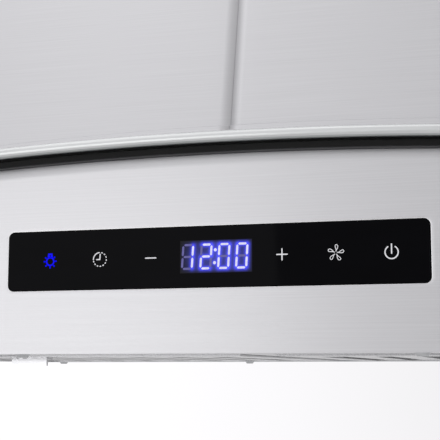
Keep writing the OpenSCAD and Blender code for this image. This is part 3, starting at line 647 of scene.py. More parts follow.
def dress(finish: Finish, edge_mm: float, *nodes: str) -> None:
    """Gives CAD nodes a finish and rounds their sharp edges.

    Args:
        finish: Finish for all of them.
        edge_mm: Width of the round on their edges, or 0 for none.
        nodes: Names of the CAD nodes.
    """
    for name in nodes:
        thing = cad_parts[name]
        thing.data.materials.clear()
        thing.data.materials.append(finish.material())
        if edge_mm:
            round_edges(thing, edge_mm)
        log.info("dressed %s with %s", name, finish.name)


def box_mm(node: str) -> tuple[Vector, Vector]:
    """Returns a CAD node's lowest and highest corners in millimetres."""
    low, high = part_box(node)
    return low / MM, high / MM


def mix(one: Point2, other: Point2, share: float) -> Point2:
    """Returns the point that lies a share of the way from one point to another."""
    return (one[0] + (other[0] - one[0]) * share, one[1] + (other[1] - one[1]) * share)


def evenly(reach: float, steps: int) -> list[float]:
    """Returns places from minus a reach to the reach, with even steps between them."""
    return [2 * reach * i / steps - reach for i in range(steps + 1)]


def arc_points(centre: Point2, radius: float, start: float, end: float, steps: int) -> list[Point2]:
    """Returns points along an arc, with its angles in degrees and both ends included."""
    angles = [math.radians(start + (end - start) * i / steps) for i in range(steps + 1)]
    return [(centre[0] + radius * math.cos(a), centre[1] + radius * math.sin(a)) for a in angles]


def rounded_corner(before: Point2, corner: Point2, after: Point2, radius: float, steps: int) -> list[Point2]:
    """Rounds a right-angled corner between two straight lines.

    Args:
        before: Point on the line that comes in.
        corner: Point where the lines would meet.
        after: Point on the line that goes on.
        radius: Radius of the round.
        steps: Steps on the round.

    Returns:
        The points of the round, with both of its ends.
    """
    c, p, n = Vector(corner), Vector(before), Vector(after)
    back, on = (p - c).normalized() * radius, (n - c).normalized() * radius
    hub = c + back + on
    return [tuple(hub - on * math.cos(t) - back * math.sin(t))
            for t in (math.pi / 2 * i / steps for i in range(steps + 1))]


def rounded_rectangle(low: Point2, high: Point2, radius: float, across: int, along: int,
                      corner: int = 8) -> list[Point2]:
    """Draws a rectangle with round corners.

    Args:
        low: Lowest corner.
        high: Highest corner.
        radius: Radius of the corners.
        across: Steps on the lower and upper sides.
        along: Steps on the other two sides.
        corner: Steps on each corner.

    Returns:
        Its outline, anticlockwise from the left end of the lower side.
    """
    x0, x1, y0, y1 = low[0] + radius, high[0] - radius, low[1] + radius, high[1] - radius
    sides = [((x0, low[1]), (x1, low[1]), across, (x1, y0), -90),
             ((high[0], y0), (high[0], y1), along, (x1, y1), 0),
             ((x1, high[1]), (x0, high[1]), across, (x0, y1), 90),
             ((low[0], y1), (low[0], y0), along, (x0, y0), 180)]
    outline = []
    for start, end, steps, hub, angle in sides:
        outline += [mix(start, end, i / steps) for i in range(steps)]
        outline += arc_points(hub, radius, angle, angle + 90, corner)[:-1]
    return outline


def inset(outline: Sequence[Point2], by: float) -> list[Point2]:
    """Moves each point of an outline inwards, square to the line through its neighbours.

    Args:
        outline: Closed outline, anticlockwise.
        by: Distance to move, or less than 0 to move outwards.

    Returns:
        The moved points.
    """
    moved = []
    for i, point in enumerate(outline):
        line = Vector(outline[(i + 1) % len(outline)]) - Vector(outline[i - 1])
        line.normalize()
        moved.append((point[0] - by * line.y, point[1] + by * line.x))
    return moved


def smooth_path(points: Sequence[Point3], steps: int) -> list[Point3]:
    """Draws a Catmull-Rom curve.

    Args:
        points: Points that it passes through.
        steps: Steps between each two.

    Returns:
        Points along the curve, with both ends.
    """
    spine = [Vector(p) for p in points]
    curve = []
    for i in range(len(spine) - 1):
        a, b, c, d = spine[max(i - 1, 0)], spine[i], spine[i + 1], spine[min(i + 2, len(spine) - 1)]
        for k in range(steps):
            t = k / steps
            curve.append(tuple(0.5 * (2 * b + (c - a) * t + (2 * a - 5 * b + 4 * c - d) * t ** 2
                                      + (3 * b - a - 3 * c + d) * t ** 3)))
    return curve + [tuple(spine[-1])]


def distance_to_line(spot: Point2, start: Point2, end: Point2) -> float:
    """Measures how far a spot is from a line.

    Args:
        spot: The spot.
        start: One end of the line.
        end: Its other end, which may be the same point.

    Returns:
        The distance to the nearest point between the ends.
    """
    a, b, p = Vector(start), Vector(end), Vector(spot)
    run = b - a
    share = max(0.0, min(1.0, (p - a).dot(run) / run.length_squared)) if run.length_squared else 0.0
    return (p - a - run * share).length


@dataclass
class Arch:
    """The arch that the glass, its seals and the foot of the tower share, bent about an axis along y."""

    glass_r: float = 2022.0
    glass_t: float = 6.0

    @cached_property
    def centre_z(self) -> float:
        """Height of the arch's axis, worked out from the top of the glass in the frame."""
        return box_mm("glass_visor")[1].z - self.glass_r - self.glass_t

    def place(self, x: float, y: float, radius: float) -> Point3:
        """Returns the point of a radius that lies x from the middle, measured where the arch is widest."""
        angle = math.asin(x / (self.glass_r + self.glass_t))
        return (radius * math.sin(angle), y, self.centre_z + radius * math.cos(angle))

    def height(self, x: float, radius: float) -> float:
        """Returns the height of a radius straight above x."""
        return self.centre_z + math.sqrt(radius ** 2 - x ** 2)

    def above(self, x: float, y: float, radius: float) -> Point3:
        """Returns the point of a radius straight above x."""
        return (x, y, self.height(x, radius))


# ---- sub-assemblies ----


@dataclass
class Canopy:
    """The steel box under the glass, with its screws."""

    arch: Arch
    front_r: float = 2018.0
    bend_r: float = 6.0
    bend_steps: int = 5
    slope_angle: float = 15.5
    slope_l: float = 3.8
    fold_r: float = 0.5
    fold_steps: int = 7
    lip: float = 10.0
    rim: float = 14.0
    sheet: float = 1.0
    sheet_edge: float = 0.3
    corner_r: float = 0.5
    unarched_h: float = 80.0
    hole_gap: float = 0.1
    hole_corner_r: float = 2.7
    hole_round: float = 0.5
    hole_border: float = 1.0
    hole_wall: float = 2.0
    round_rows: range = range(3, 7)
    across: int = 96
    along: int = 6

    def top_edge(self) -> list[Point2]:
        """Shapes the fascia's top edge, from where it starts to bend back to the end of its lip.

        Returns:
            Radius and distance behind the face of each point.
        """
        slope = math.radians(self.slope_angle)
        fold_start = self.front_r - self.fold_r * (1 - math.sin(slope))
        start = fold_start - self.bend_r * math.sin(slope) - self.slope_l * math.cos(slope)
        bend = [(start + self.bend_r * math.sin(a), self.bend_r * (1 - math.cos(a)))
                for a in (slope * i / self.bend_steps for i in range(self.bend_steps + 1))]
        hub = bend[-1][1] + self.slope_l * math.sin(slope) + self.fold_r * math.cos(slope)
        turn = math.pi / 2 - slope
        fold = [(self.front_r - self.fold_r * (1 - math.sin(a)), hub - self.fold_r * math.cos(a))
                for a in (slope + turn * i / self.fold_steps for i in range(self.fold_steps + 1))]
        return bend + fold + [(self.front_r, hub + self.lip)]

    def fascia(self) -> None:
        """Builds the fascia: flat with a hole for the touch glass, sloping back along its arched top."""
        low, high = box_mm("fascia")
        shape = Shape()
        # The faces of the hole's rounded rim take the lighter finish, a painted highlight.
        shape.grid(self.face_rows(low, high), wrap_columns=True,
                   finish=lambda row: int(row in self.round_rows))
        end = high.x - self.corner_r
        columns = evenly(end, self.across)
        shape.grid([[self.arch.above(x, low.y + back, radius) for x in columns]
                    for radius, back in self.top_edge()])
        front, back = low.y + self.sheet, low.y + self.rim
        shape.face([(-end, back, low.z), (end, back, low.z), (end, front, low.z), (-end, front, low.z)])
        made = shape.piece("rolled_fascia", "canopy", "brushed_stainless", LEVEL_STEEL, HOLE_RIM_PAINTED_HIGHLIGHT,
                           smooth=True, weld=True)
        keep_crisp(made)
        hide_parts("fascia")

    def face_rows(self, low: Vector, high: Vector) -> list[list[Point3]]:
        """Shapes the flat face as rings, from its outer edge in to the far side of the hole's wall.

        Args:
            low: Lowest corner of the fascia.
            high: Highest corner of the fascia.

        Returns:
            Rings with matching points. Those after round_rows form the rounded rim of the hole.
        """
        top_r, r, gap = self.top_edge()[0][0], self.hole_round, self.hole_gap
        outer = []
        for x, z in rounded_rectangle((low.x, low.z), (high.x, low.z + self.unarched_h), self.corner_r,
                                      self.across, self.along):
            top = self.arch.height(x, top_r)
            outer.append((x, low.z + (z - low.z) / self.unarched_h * (top - low.z)))
        glass_low, glass_high = box_mm("control_glass")
        hole = rounded_rectangle((glass_low.x - gap, glass_low.z - gap),
                                 (glass_high.x + gap, glass_high.z + gap),
                                 self.hole_corner_r, self.across, self.along)
        rows = [[(x, low.y + self.sheet, z) for x, z in outer], [(x, low.y, z) for x, z in outer]]
        for out in (2 * r + self.hole_border, r):
            rows.append([(x, low.y, z) for x, z in inset(hole, -out)])
        steps = len(self.round_rows)
        for a in (math.pi / 2 * i / steps for i in range(1, steps + 1)):
            ring = inset(hole, -r * (1 - math.sin(a)))
            rows.append([(x, low.y + r * (1 - math.cos(a)), z) for x, z in ring])
        rows.append([(x, low.y + self.sheet + self.hole_wall, z) for x, z in hole])
        return rows

    def build(self) -> None:
        """Builds the fascia and dresses the other sheets, the deck and the screws."""
        self.fascia()
        dress(LEVEL_STEEL, self.sheet_edge, "side_panel_left", "side_panel_right")
        dress(FLAT_STEEL, self.sheet_edge, "bottom_frame")
        dress(GALVANISED, self.sheet_edge, "back_panel", "top_deck", "tower_brackets")
        dress(ZINC_PLATE, 0.15, "body_screws")


@dataclass
class Visor:
    """The arched glass with its ground edge, enamel border, seals and bolts."""

    arch: Arch
    corner_r: float = 26.0
    hole_low: Point2 = (-165.0, -360.0)
    hole_high: Point2 = (165.0, -50.0)
    hole_corner_r: float = 15.0
    across: int = 88
    along: int = 12
    rings: int = 9
    edge_steps: int = 10
    foot_steps: int = 3
    border_w: float = 4.7
    border_inset: float = 1.5
    border_gap: float = 0.03
    seal_h: float = 4.0
    bead_r: float = 0.55
    bead_sides: int = 12
    bead_clear: float = 1.0

    def outlines(self) -> tuple[list[Point2], list[Point2]]:
        """Draws the glass flat, seen from above.

        Returns:
            Its outer outline and the cut-out's, with points that match one to one.
        """
        low, high = box_mm("glass_visor")
        outer = rounded_rectangle((low.x, low.y), (high.x, high.y), self.corner_r, self.across, self.along)
        hole = rounded_rectangle(self.hole_low, self.hole_high, self.hole_corner_r, self.across, self.along)
        return outer, hole

    def bend(self, outline: Sequence[Point2], rise: float) -> list[Point3]:
        """Lays an outline on the arch, with rise from the middle of the glass."""
        radius = self.arch.glass_r + self.arch.glass_t / 2 + rise
        return [self.arch.place(x, y, radius) for x, y in outline]

    def edge(self, outline: Sequence[Point2], inward: float, start: int, end: int) -> list[list[Point3]]:
        """Shapes a half-round edge of the glass.

        Args:
            outline: The edge's outline.
            inward: 1 if the glass lies inside the outline and -1 if it lies outside.
            start: Angle at the first ring in degrees, where -90 is the underside.
            end: Angle at the last ring, where 90 is the top.

        Returns:
            The rings round the edge.
        """
        half = self.arch.glass_t / 2
        rings = []
        for i in range(self.edge_steps + 1):
            a = math.radians(start + (end - start) * i / self.edge_steps)
            rings.append(self.bend(inset(outline, inward * half * (1 - math.cos(a))), half * math.sin(a)))
        return rings

    def finish_after(self, row: int) -> int:
        """Picks the finish of the faces after a row of the glass.

        Args:
            row: Number of the row, from the foot of the outer edge.

        Returns:
            0 for clear glass, 1 for a ground edge and 2 for the outer edge's foot, which is painted darker as
            shade.
        """
        if row < self.foot_steps:
            return 2
        inner_edge = self.edge_steps + self.rings
        return int(row < self.edge_steps or inner_edge <= row < inner_edge + self.edge_steps)

    def glass(self) -> None:
        """Builds the bent glass as one closed skin, round its outer edge and back through the cut-out."""
        outer, hole = self.outlines()
        half = self.arch.glass_t / 2
        pairs = list(zip(inset(outer, half), inset(hole, -half)))
        rings = [[mix(a, b, k / self.rings) for a, b in pairs] for k in range(1, self.rings)]
        rows = self.edge(outer, 1, -90, 90) + [self.bend(ring, half) for ring in rings]
        rows += self.edge(hole, -1, 90, -90) + [self.bend(ring, -half) for ring in reversed(rings)]
        shape = Shape()
        shape.grid(rows, wrap_rows=True, wrap_columns=True, finish=self.finish_after)
        made = shape.piece("bent_visor_glass", "canopy", "visor_glass", VISOR_GLASS, VISOR_EDGE,
                           VISOR_EDGE_PAINTED_SHADE, smooth=True)
        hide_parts("glass_visor")

    def border(self) -> None:
        """Builds the black enamel band fired onto the underside of the glass along its front."""
        low, high = box_mm("glass_visor")
        columns = evenly(high.x - self.corner_r, self.across)[::-1]
        front = low.y + self.border_inset
        shape = Shape()
        shape.grid([[self.arch.place(x, y, self.arch.glass_r - self.border_gap) for x in columns]
                    for y in (front, front + self.border_w)])
        shape.piece("visor_enamel_border", "canopy", "seal_rubber", BORDER_ENAMEL)

    def bead(self) -> None:
        """Builds the rounded lip along the lower edge of the front seal, where it laps over the fascia."""
        low, high = box_mm("front_seal")
        radius = self.arch.glass_r - self.seal_h + self.bead_r
        path = [self.arch.above(x, low.y, radius) for x in evenly(high.x - self.bead_clear, self.across)]
        shape = Shape()
        shape.tube(path, self.bead_r, self.bead_sides)
        # The lip takes a lighter grey than the seal, a painted highlight.
        shape.piece("seal_bead", "canopy", "seal_rubber", SEAL_LIP_PAINTED_HIGHLIGHT, smooth=True)

    def build(self) -> None:
        """Builds the glass, its border and the seal's bead, and dresses the seals and the bolts."""
        self.glass()
        self.border()
        self.bead()
        dress(SEAL_RUBBER, 0.0, "front_seal", "side_seals")
        dress(SEAL_RUBBER, 0.3, "glass_washers")
        dress(POLISHED_STEEL, 0.2, "glass_bolts")
        dress(NATURAL_NYLON, 0.3, "glass_spacers")
        dress(ZINC_PLATE, 0.3, "glass_nuts")


@dataclass
class Tower:
    """The leaning tower: two folded half shells that meet in an open joint at the front."""

    arch: Arch
    sheet: float = 1.0
    gap: float = 0.02
    fold_depth: float = 5.0
    bend_r: float = 12.5
    bend_angle: float = 27.0
    bend_steps: int = 10
    fold_r: float = 0.12
    fold_steps: int = 4
    corner_r: float = 2.4
    back_corner_r: float = 1.2
    back_flange: float = 18.0
    lip_drop: float = 0.5
    lip_inset: float = 0.6
    foot_clear: float = 6.3
    trim_h: float = 11.0
    trim_t: float = 2.0
    trim_clear: float = 0.1
    trim_chamfer: float = 0.4
    trim_crease: float = 24.0
    chimney_clear: float = 2.0
    base_z: float = 102.0
    columns: int = 22

    def section(self, half_w: float, front: float) -> list[Point2]:
        """Shapes the outside of the right half in plan.

        Args:
            half_w: Half of the tower's width at this height.
            front: Place of the front face at this height.

        Returns:
            Points from the joint's folded edge round to the flange on the wall.
        """
        g, slope = self.gap / 2, math.radians(self.bend_angle)
        inner, outer, back = (g, front), (half_w, front), (half_w, 0.0)
        end = (half_w - self.back_flange, 0.0)
        reach = g + self.fold_r * (1 - math.sin(slope)) + self.bend_r * math.sin(slope)
        drop = self.bend_r * (1 - math.cos(slope)) + self.fold_r * math.cos(slope)
        turn = math.pi / 2 - slope
        turns = [math.pi / 2 - turn * i / self.fold_steps for i in range(self.fold_steps + 1)]
        line = [(g, front + self.fold_depth)] + [
            (g + self.fold_r * (1 - math.sin(a)), front + drop - self.fold_r * math.cos(a)) for a in turns]
        line += [(reach - self.bend_r * math.sin(a), front + self.bend_r * (1 - math.cos(a)))
                 for a in (slope * (1 - i / self.bend_steps) for i in range(1, self.bend_steps + 1))]
        x0, x1 = line[-1][0], half_w - self.corner_r
        line += [(x0 + (x1 - x0) * i / self.columns, front) for i in range(1, self.columns)]
        line += rounded_corner(inner, outer, back, self.corner_r, 5)
        line += rounded_corner(outer, back, end, self.back_corner_r, 3) + [end]
        return line

    def on_arch(self, base: Point2, top: Point2, high_z: float, rise: float, side: int) -> Point3:
        """Finds where an upright line of the tower meets an arch above the glass.

        Args:
            base: The line's place in plan at the height of the base.
            top: Its place in plan at the tower's top.
            high_z: Height of the tower's top.
            rise: Height of the arch above the tower's foot.
            side: 1 for the right half and -1 for the left.

        Returns:
            The point on the line.
        """
        z = self.arch.height(base[0], self.arch.glass_r + self.foot_clear + rise)
        x, y = mix(base, top, (z - self.base_z) / (high_z - self.base_z))
        return (side * x, y, z)

    def half(self, side: int, node: str) -> None:
        """Builds one half shell.

        Args:
            side: 1 for the right half and -1 for the left.
            node: CAD node that it replaces.
        """
        high_z = box_mm(node)[1].z
        top_w, base_w = self.sizes(node)
        top = self.section(top_w, self.front_at(high_z))
        base = self.section(base_w, self.front_at(self.base_z))
        feet = [self.on_arch(b, t, high_z, 0.0, side) for b, t in zip(base, top)]
        crown = [(side * x, y, high_z) for x, y in top]
        shape = Shape()
        shape.grid([crown, feet] if side < 0 else [feet, crown])
        x0, x1 = self.gap / 2, top_w - self.lip_inset
        y0, y1 = top[0][1] - self.fold_depth + self.lip_inset, top[0][1] + self.sheet
        lip = [(side * x, y, high_z - self.lip_drop) for x, y in ((x0, y0), (x1, y0), (x1, y1), (x0, y1))]
        shape.face(lip if side > 0 else lip[::-1])
        made = shape.piece(f"folded_{node}", "canopy", "brushed_stainless", LEVEL_STEEL, smooth=True)
        thicken(made, self.sheet)
        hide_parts(node)

    def trim(self) -> None:
        """Builds the strip round the tower's foot, folded into the joint like the tower itself."""
        top_w, base_w = self.sizes("tower_right")
        high_z = box_mm("tower_right")[1].z
        shape = Shape()
        for side in (-1, 1):
            rows = []
            for rise in (0.0, self.trim_h - self.trim_chamfer, self.trim_h):
                out = self.trim_t - self.trim_chamfer * (rise == self.trim_h)
                top = self.section(top_w + out, self.front_at(high_z) - out)
                base = self.section(base_w + out, self.front_at(self.base_z) - out)
                rows.append([self.on_arch(b, t, high_z, rise, side) for b, t in zip(base[:-2], top[:-2])])
            shape.grid(rows[::-1] if side < 0 else rows)
        made = shape.piece("folded_base_trim", "canopy", "brushed_stainless", LEVEL_STEEL, smooth=True)
        thicken(made, self.trim_t - self.trim_clear, self.trim_crease)
        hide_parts("base_trim")

    def sizes(self, node: str) -> tuple[float, float]:
        """Works out how wide the tower is.

        Args:
            node: CAD node of one of its halves.

        Returns:
            Half of its width at its top, and at the height of its base.
        """
        low, high = box_mm(node)
        widest = max(abs(low.x), abs(high.x))
        top_w = box_mm("chimney")[1].x + self.sheet + self.chimney_clear
        slope = (widest - top_w) / (high.z - low.z)
        return top_w, top_w + slope * (high.z - self.base_z)

    def front_at(self, z: float) -> float:
        """Finds the leaning front face at a height.

        Args:
            z: The height.

        Returns:
            The face's place along y.
        """
        high_z, foot = box_mm("tower_right")[1].z, box_mm("joint_strip")[0]
        top_y = box_mm("chimney")[0].y - self.chimney_clear - self.sheet - self.fold_depth
        slope = (top_y - (foot.y - self.fold_depth)) / (high_z - foot.z)
        return top_y - slope * (high_z - z)

    def build(self) -> None:
        """Builds both halves and the trim, and dresses the strip behind the joint."""
        self.half(-1, "tower_left")
        self.half(1, "tower_right")
        self.trim()
        dress(JOINT_PAINT, 0.0, "joint_strip")


@dataclass
class Chimney:
    """The sliding chimney with its louvres, bracket and screws."""

    def build(self) -> None:
        """Dresses the chimney and what slides with it."""
        dress(LEVEL_STEEL, 0.25, "chimney")
        dress(GALVANISED, 0.3, "chimney_bracket")
        dress(ZINC_PLATE, 0.2, "chimney_screws")


@dataclass
class Blower:
    """The spiral fan casing with its wheel, motor, collar and damper."""

    def build(self) -> None:
        """Dresses the casing, the wheel, the motor and the damper."""
        dress(GALVANISED, 0.25, "blower_scroll", "blower_plates", "inlet_rings", "motor_bracket",
              "duct_collar")
        dress(ZINC_PLATE, 0.3, "blower_standoffs", "wheel_nut")
        dress(WHEEL_PAINT, 0.15, "fan_wheel", "fan_blades")
        dress(POLISHED_STEEL, 0.3, "motor_shaft", "damper_pins")
        dress(MOTOR_CASTING, 0.8, "motor")
        dress(ROLLED_ALUMINIUM, 0.2, "damper_flap_left", "damper_flap_right")


@dataclass
class Electrics:
    """The electronics box, its parts and the two internal cables."""

    screw_inset: Point2 = (8.0, 10.0)
    wire_r: float = 0.9

    def screws(self) -> None:
        """Builds raised heads on the cover's four screws."""
        low, high = box_mm("electronics_cover")
        in_x, in_z = self.screw_inset
        shape = Shape()
        for x in (low.x + in_x, high.x - in_x):
            for z in (low.z + in_z, high.z - in_z):
                shape.lathe([(0.01, -0.6), (1.6, -0.5), (2.8, 0.0), (2.9, 0.4)], (x, low.y, z),
                            axis="y", steps=20)
        shape.piece("cover_screw_heads", "canopy", "zinc_fastener", ZINC_PLATE, smooth=True)

    def wires(self) -> None:
        """Builds two wires from the terminal block to the two ends of the run capacitor."""
        block_low, block_high = box_mm("terminal_block")
        cap_low, cap_high = box_mm("run_capacitor")
        x, y = block_high.x - 6, block_low.y - 1
        shape = Shape()
        for i, end_x in enumerate((cap_low.x + 10, cap_high.x - 10)):
            z = block_low.z + 19 + 24 * i
            path = [(x, y + 6, z), (x, y - 2, z), (x + 6, y - 6, z + 6), (end_x - 4, y - 6, cap_high.z + 4),
                    (end_x, y - 7, cap_high.z + 3), (end_x, (cap_low.y + cap_high.y) / 2, cap_high.z - 3)]
            shape.tube(smooth_path(path, 6), self.wire_r, 8)
        shape.piece("capacitor_wires", "canopy", "cable_jacket", CABLE_JACKET, smooth=True)

    def build(self) -> None:
        """Builds the small pieces and dresses the rest."""
        self.screws()
        self.wires()
        dress(GALVANISED, 0.3, "electronics_box", "electronics_cover")
        dress(CAPACITOR_CASE, 1.2, "run_capacitor")
        dress(TERMINAL_PLASTIC, 0.5, "terminal_block")
        dress(GLAND_NYLON, 0.4, "cable_gland")
        dress(CABLE_JACKET, 0.0, "control_cable", "motor_cable")
        for name in ("control_cable", "motor_cable"):
            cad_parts[name].data.shade_smooth()
        dress(NATURAL_NYLON, 0.4, "cable_clips")


class Symbol(Enum):
    """The six touch keys, by their place left or right of the panel's middle in millimetres."""

    LAMP = -78.35
    CLOCK = -53.1
    MINUS = -27.9
    PLUS = 34.3
    FAN = 58.7
    POWER = 83.3


@dataclass
class Print:
    """Ink on the face of the touch glass, drawn in millimetres right and up from the panel's middle."""

    face_y: float
    middle_z: float
    centre: Point2 = (0.0, 0.0)
    shape: Shape = field(default_factory=Shape)

    def at(self, x: float, z: float) -> Point3:
        """Returns a drawn point on the glass."""
        return (self.centre[0] + x, self.face_y, self.middle_z + self.centre[1] + z)

    def patch(self, outline: Sequence[Point2]) -> None:
        """Fills an outline."""
        self.shape.face([self.at(*p) for p in outline])

    def dot(self, centre: Point2, radius: float) -> None:
        """Prints a round dot."""
        self.patch(arc_points(centre, radius, 0, 360, 20)[:-1])

    def stroke(self, line: Sequence[Point2], width: float, closed: bool = False) -> None:
        """Prints a line of even width, with round ends unless it is closed.

        Args:
            line: Points along its middle.
            width: Width of the line.
            closed: Whether its end joins its start.
        """
        left, right, count = [], [], len(line)
        for i, (x, z) in enumerate(line):
            before = line[i - 1] if closed or i else line[0]
            after = line[(i + 1) % count] if closed or i < count - 1 else line[-1]
            ahead = (Vector(after) - Vector(before)).normalized() * (width / 2)
            left.append(self.at(x - ahead.y, z + ahead.x))
            right.append(self.at(x + ahead.y, z - ahead.x))
        self.shape.grid([left, right], wrap_columns=closed)
        if not closed:
            self.dot(line[0], width / 2)
            self.dot(line[-1], width / 2)

    def band(self, outer: Sequence[Point2], inner: Sequence[Point2]) -> None:
        """Fills between two closed outlines with matching points."""
        self.shape.grid([[self.at(*p) for p in outer], [self.at(*p) for p in inner]], wrap_columns=True)


@dataclass
class ControlPanel:
    """The touch panel: black glass, printed symbols and the blue clock behind a film."""

    corner_r: float = 2.4
    edge_mm: float = 0.35
    ink_lift: float = 0.03
    line_w: float = 0.56
    digit_w: float = 4.7
    digit_h: float = 10.9
    segment_w: float = 1.0
    segment_gap: float = 0.35
    slant: float = 0.062
    digit_x: tuple[float, ...] = (-10.0, -1.2, 7.25, 15.7)
    colon_x: float = 3.05
    colon_z: float = 2.95
    colon_dot_r: float = 0.72
    window_low: Point2 = (-13.6, -7.5)
    window_high: Point2 = (20.5, 7.5)
    glow_cell: float = 0.35
    halo_r: float = 1.1
    halo_level: float = 0.95
    wash_r: float = 4.2
    wash_sum: float = 5.5
    fade_w: float = 1.5
    fade_start: float = 0.1
    lit: tuple[str, ...] = ("bc", "abged", "abcdef", "abcdef")

    def ink(self, lift: float, centre: Point2 = (0.0, 0.0)) -> Print:
        """Returns blank print that stands a little in front of the glass."""
        low, high = box_mm("control_glass")
        return Print(low.y - lift, (low.z + high.z) / 2, centre)

    def glass(self) -> None:
        """Builds the black glass, a plate with round corners and a polished arris."""
        low, high = box_mm("control_glass")
        outline = rounded_rectangle((low.x, low.z), (high.x, high.z), self.corner_r, 1, 1)
        front = [(x, low.y, z) for x, z in outline]
        back = [(x, high.y, z) for x, z in outline]
        shape = Shape()
        shape.grid([back, front], wrap_columns=True)
        shape.face(front)
        shape.face(back[::-1])
        made = shape.piece("touch_glass", "canopy", "panel_glass", PANEL_GLASS)
        round_edges(made, self.edge_mm, 3)
        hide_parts("control_glass")

    def lamp(self) -> None:
        """Prints the lamp key: a hanging bulb with seven short rays."""
        ink = self.ink(self.ink_lift, (Symbol.LAMP.value, -0.35))
        ink.band(arc_points((0, 0), 2.2, 0, 360, 40)[:-1], arc_points((0, 0), 1.5, 0, 360, 40)[:-1])
        cap = [(-1.3, 1.75), (1.3, 1.75), (1.3, 2.6), (1.1, 3.9), (-1.1, 3.9), (-1.3, 2.6)]
        hole = arc_points((0, 2.72), 0.36, 235, 595, 6)[:-1]
        ink.band(cap, hole)
        for angle in (180, 142, 224, 270, 313, 2, 42):
            ray = [arc_points((0, 0), r, angle, angle, 1)[0] for r in (2.1, 2.95)]
            ink.stroke(ray, 0.5)
            ink.dot(ray[1], 0.4)
        ink.shape.piece("lamp_symbol", "canopy", "display_body", BLUE_INK)

    def clock(self, ink: Print) -> None:
        """Prints the timer key: a clock face that is solid for a quarter and dotted for the rest.

        Args:
            ink: Print to add to.
        """
        ink.centre = (Symbol.CLOCK.value, 0.0)
        ink.stroke(arc_points((0, 0), 3.25, 96, 180, 20), 0.5)
        for i in range(10):
            middle = 72 - 26.1 * i
            ink.stroke(arc_points((0, 0), 3.25, middle + 3, middle - 3, 2), 0.52)
        ink.stroke([(0, 0), (0.12, 2.45)], self.line_w)
        ink.stroke([(0, 0), (-1.6, -0.05)], self.line_w)

    def fan(self, ink: Print) -> None:
        """Prints the fan key: five outlined blades, each leaning a little as if it turned.

        Args:
            ink: Print to add to.
        """
        ink.centre = (Symbol.FAN.value, 0.0)
        for i in range(5):
            aim = math.radians(86 - 72 * i)
            blade = []
            for k in range(28):
                t = 2 * math.pi * k / 28
                out = 2.15 - 1.5 * math.cos(t)
                lean = 0.16 * (out - 0.65) * (3.6 - out) / 2
                side = 0.98 * math.sin(t) * (0.42 - 0.58 * math.cos(t)) + lean
                blade.append((out * math.cos(aim) + side * math.sin(aim),
                              out * math.sin(aim) - side * math.cos(aim)))
            ink.stroke(blade, 0.32, closed=True)

    def symbols(self) -> None:
        """Prints the white keys."""
        ink = self.ink(self.ink_lift)
        self.clock(ink)
        ink.centre = (Symbol.MINUS.value, 0.0)
        ink.stroke([(-2.5, 0), (2.5, 0)], self.line_w)
        ink.centre = (Symbol.PLUS.value, 0.0)
        ink.stroke([(-2.4, 0), (2.4, 0)], self.line_w)
        ink.stroke([(0, -2.5), (0, 2.5)], self.line_w)
        self.fan(ink)
        ink.centre = (Symbol.POWER.value, -0.35)
        ink.stroke(arc_points((0, 0), 2.87, 124, 416, 48), self.line_w)
        ink.stroke([(0, 3.55), (0, -0.5)], self.line_w)
        ink.shape.piece("key_symbols", "canopy", "display_body", WHITE_INK)

    def segment(self, name: str) -> list[Point2]:
        """Draws a segment of a seven-segment digit.

        Args:
            name: Letter from a to g, clockwise from the top and then the middle.

        Returns:
            A six-sided outline about the digit's middle, whose first and fourth corners are its ends.
        """
        w, h, t, gap = self.digit_w / 2, self.digit_h / 2, self.segment_w / 2, self.segment_gap
        level = {"a": h, "g": 0.0, "d": -h}
        if name in level:
            z, reach = level[name], w - gap
            outline = [(-reach, z), (-reach + t, z + t), (reach - t, z + t), (reach, z), (reach - t, z - t),
                       (-reach + t, z - t)]
        else:
            x = w if name in "bc" else -w
            low, high = (gap, h - gap) if name in "bf" else (-h + gap, -gap)
            outline = [(x, low), (x + t, low + t), (x + t, high - t), (x, high), (x - t, high - t),
                       (x - t, low + t)]
        return [(x + self.slant * z, z) for x, z in outline]

    def digits(self) -> list[tuple[Point2, Point2]]:
        """Prints the clock's segments.

        Returns:
            The two ends of the middle line of each lit segment, and of each colon dot.
        """
        bright, ghost = self.ink(3 * self.ink_lift), self.ink(2 * self.ink_lift)
        lines = []
        for x, lit in zip(self.digit_x, self.lit):
            for name in "abcdefg":
                outline = self.segment(name)
                target = bright if name in lit else ghost
                target.centre = (x, 0.0)
                target.patch(outline)
                if name in lit:
                    lines.append(((x + outline[0][0], outline[0][1]), (x + outline[3][0], outline[3][1])))
        for z in (self.colon_z, -self.colon_z):
            bright.centre = (self.colon_x + self.slant * z, z)
            bright.dot((0, 0), self.colon_dot_r)
            lines.append((bright.centre, bright.centre))
        bright.shape.piece("lit_segments", "canopy", "display_body", DIGIT_LIGHT)
        # The unlit segments are printed with a painted glow.
        ghost.shape.piece("unlit_segments", "canopy", "display_body", UNLIT_SEGMENT_PAINTED_GLOW)
        return lines

    def film(self, lines: Sequence[tuple[Point2, Point2]]) -> None:
        """Builds the film behind the digits, with the light that reaches each of its points.

        Args:
            lines: Ends of each shining segment.
        """
        (x0, z0), (x1, z1) = self.window_low, self.window_high
        across, up = int((x1 - x0) / self.glow_cell), int((z1 - z0) / self.glow_cell)
        spots = [[(x0 + (x1 - x0) * i / across, z0 + (z1 - z0) * j / up) for i in range(across + 1)]
                 for j in range(up + 1)]
        ink = self.ink(self.ink_lift)
        ink.shape.grid([[ink.at(*p) for p in row] for row in spots])
        made = ink.shape.piece("display_film", "canopy", "display_body", FILM)
        layer = made.data.color_attributes.new(FILM.layer, "FLOAT_COLOR", "POINT")
        for i, spot in enumerate(p for row in spots for p in row):
            layer.data[i].color = self.light_at(spot, lines)

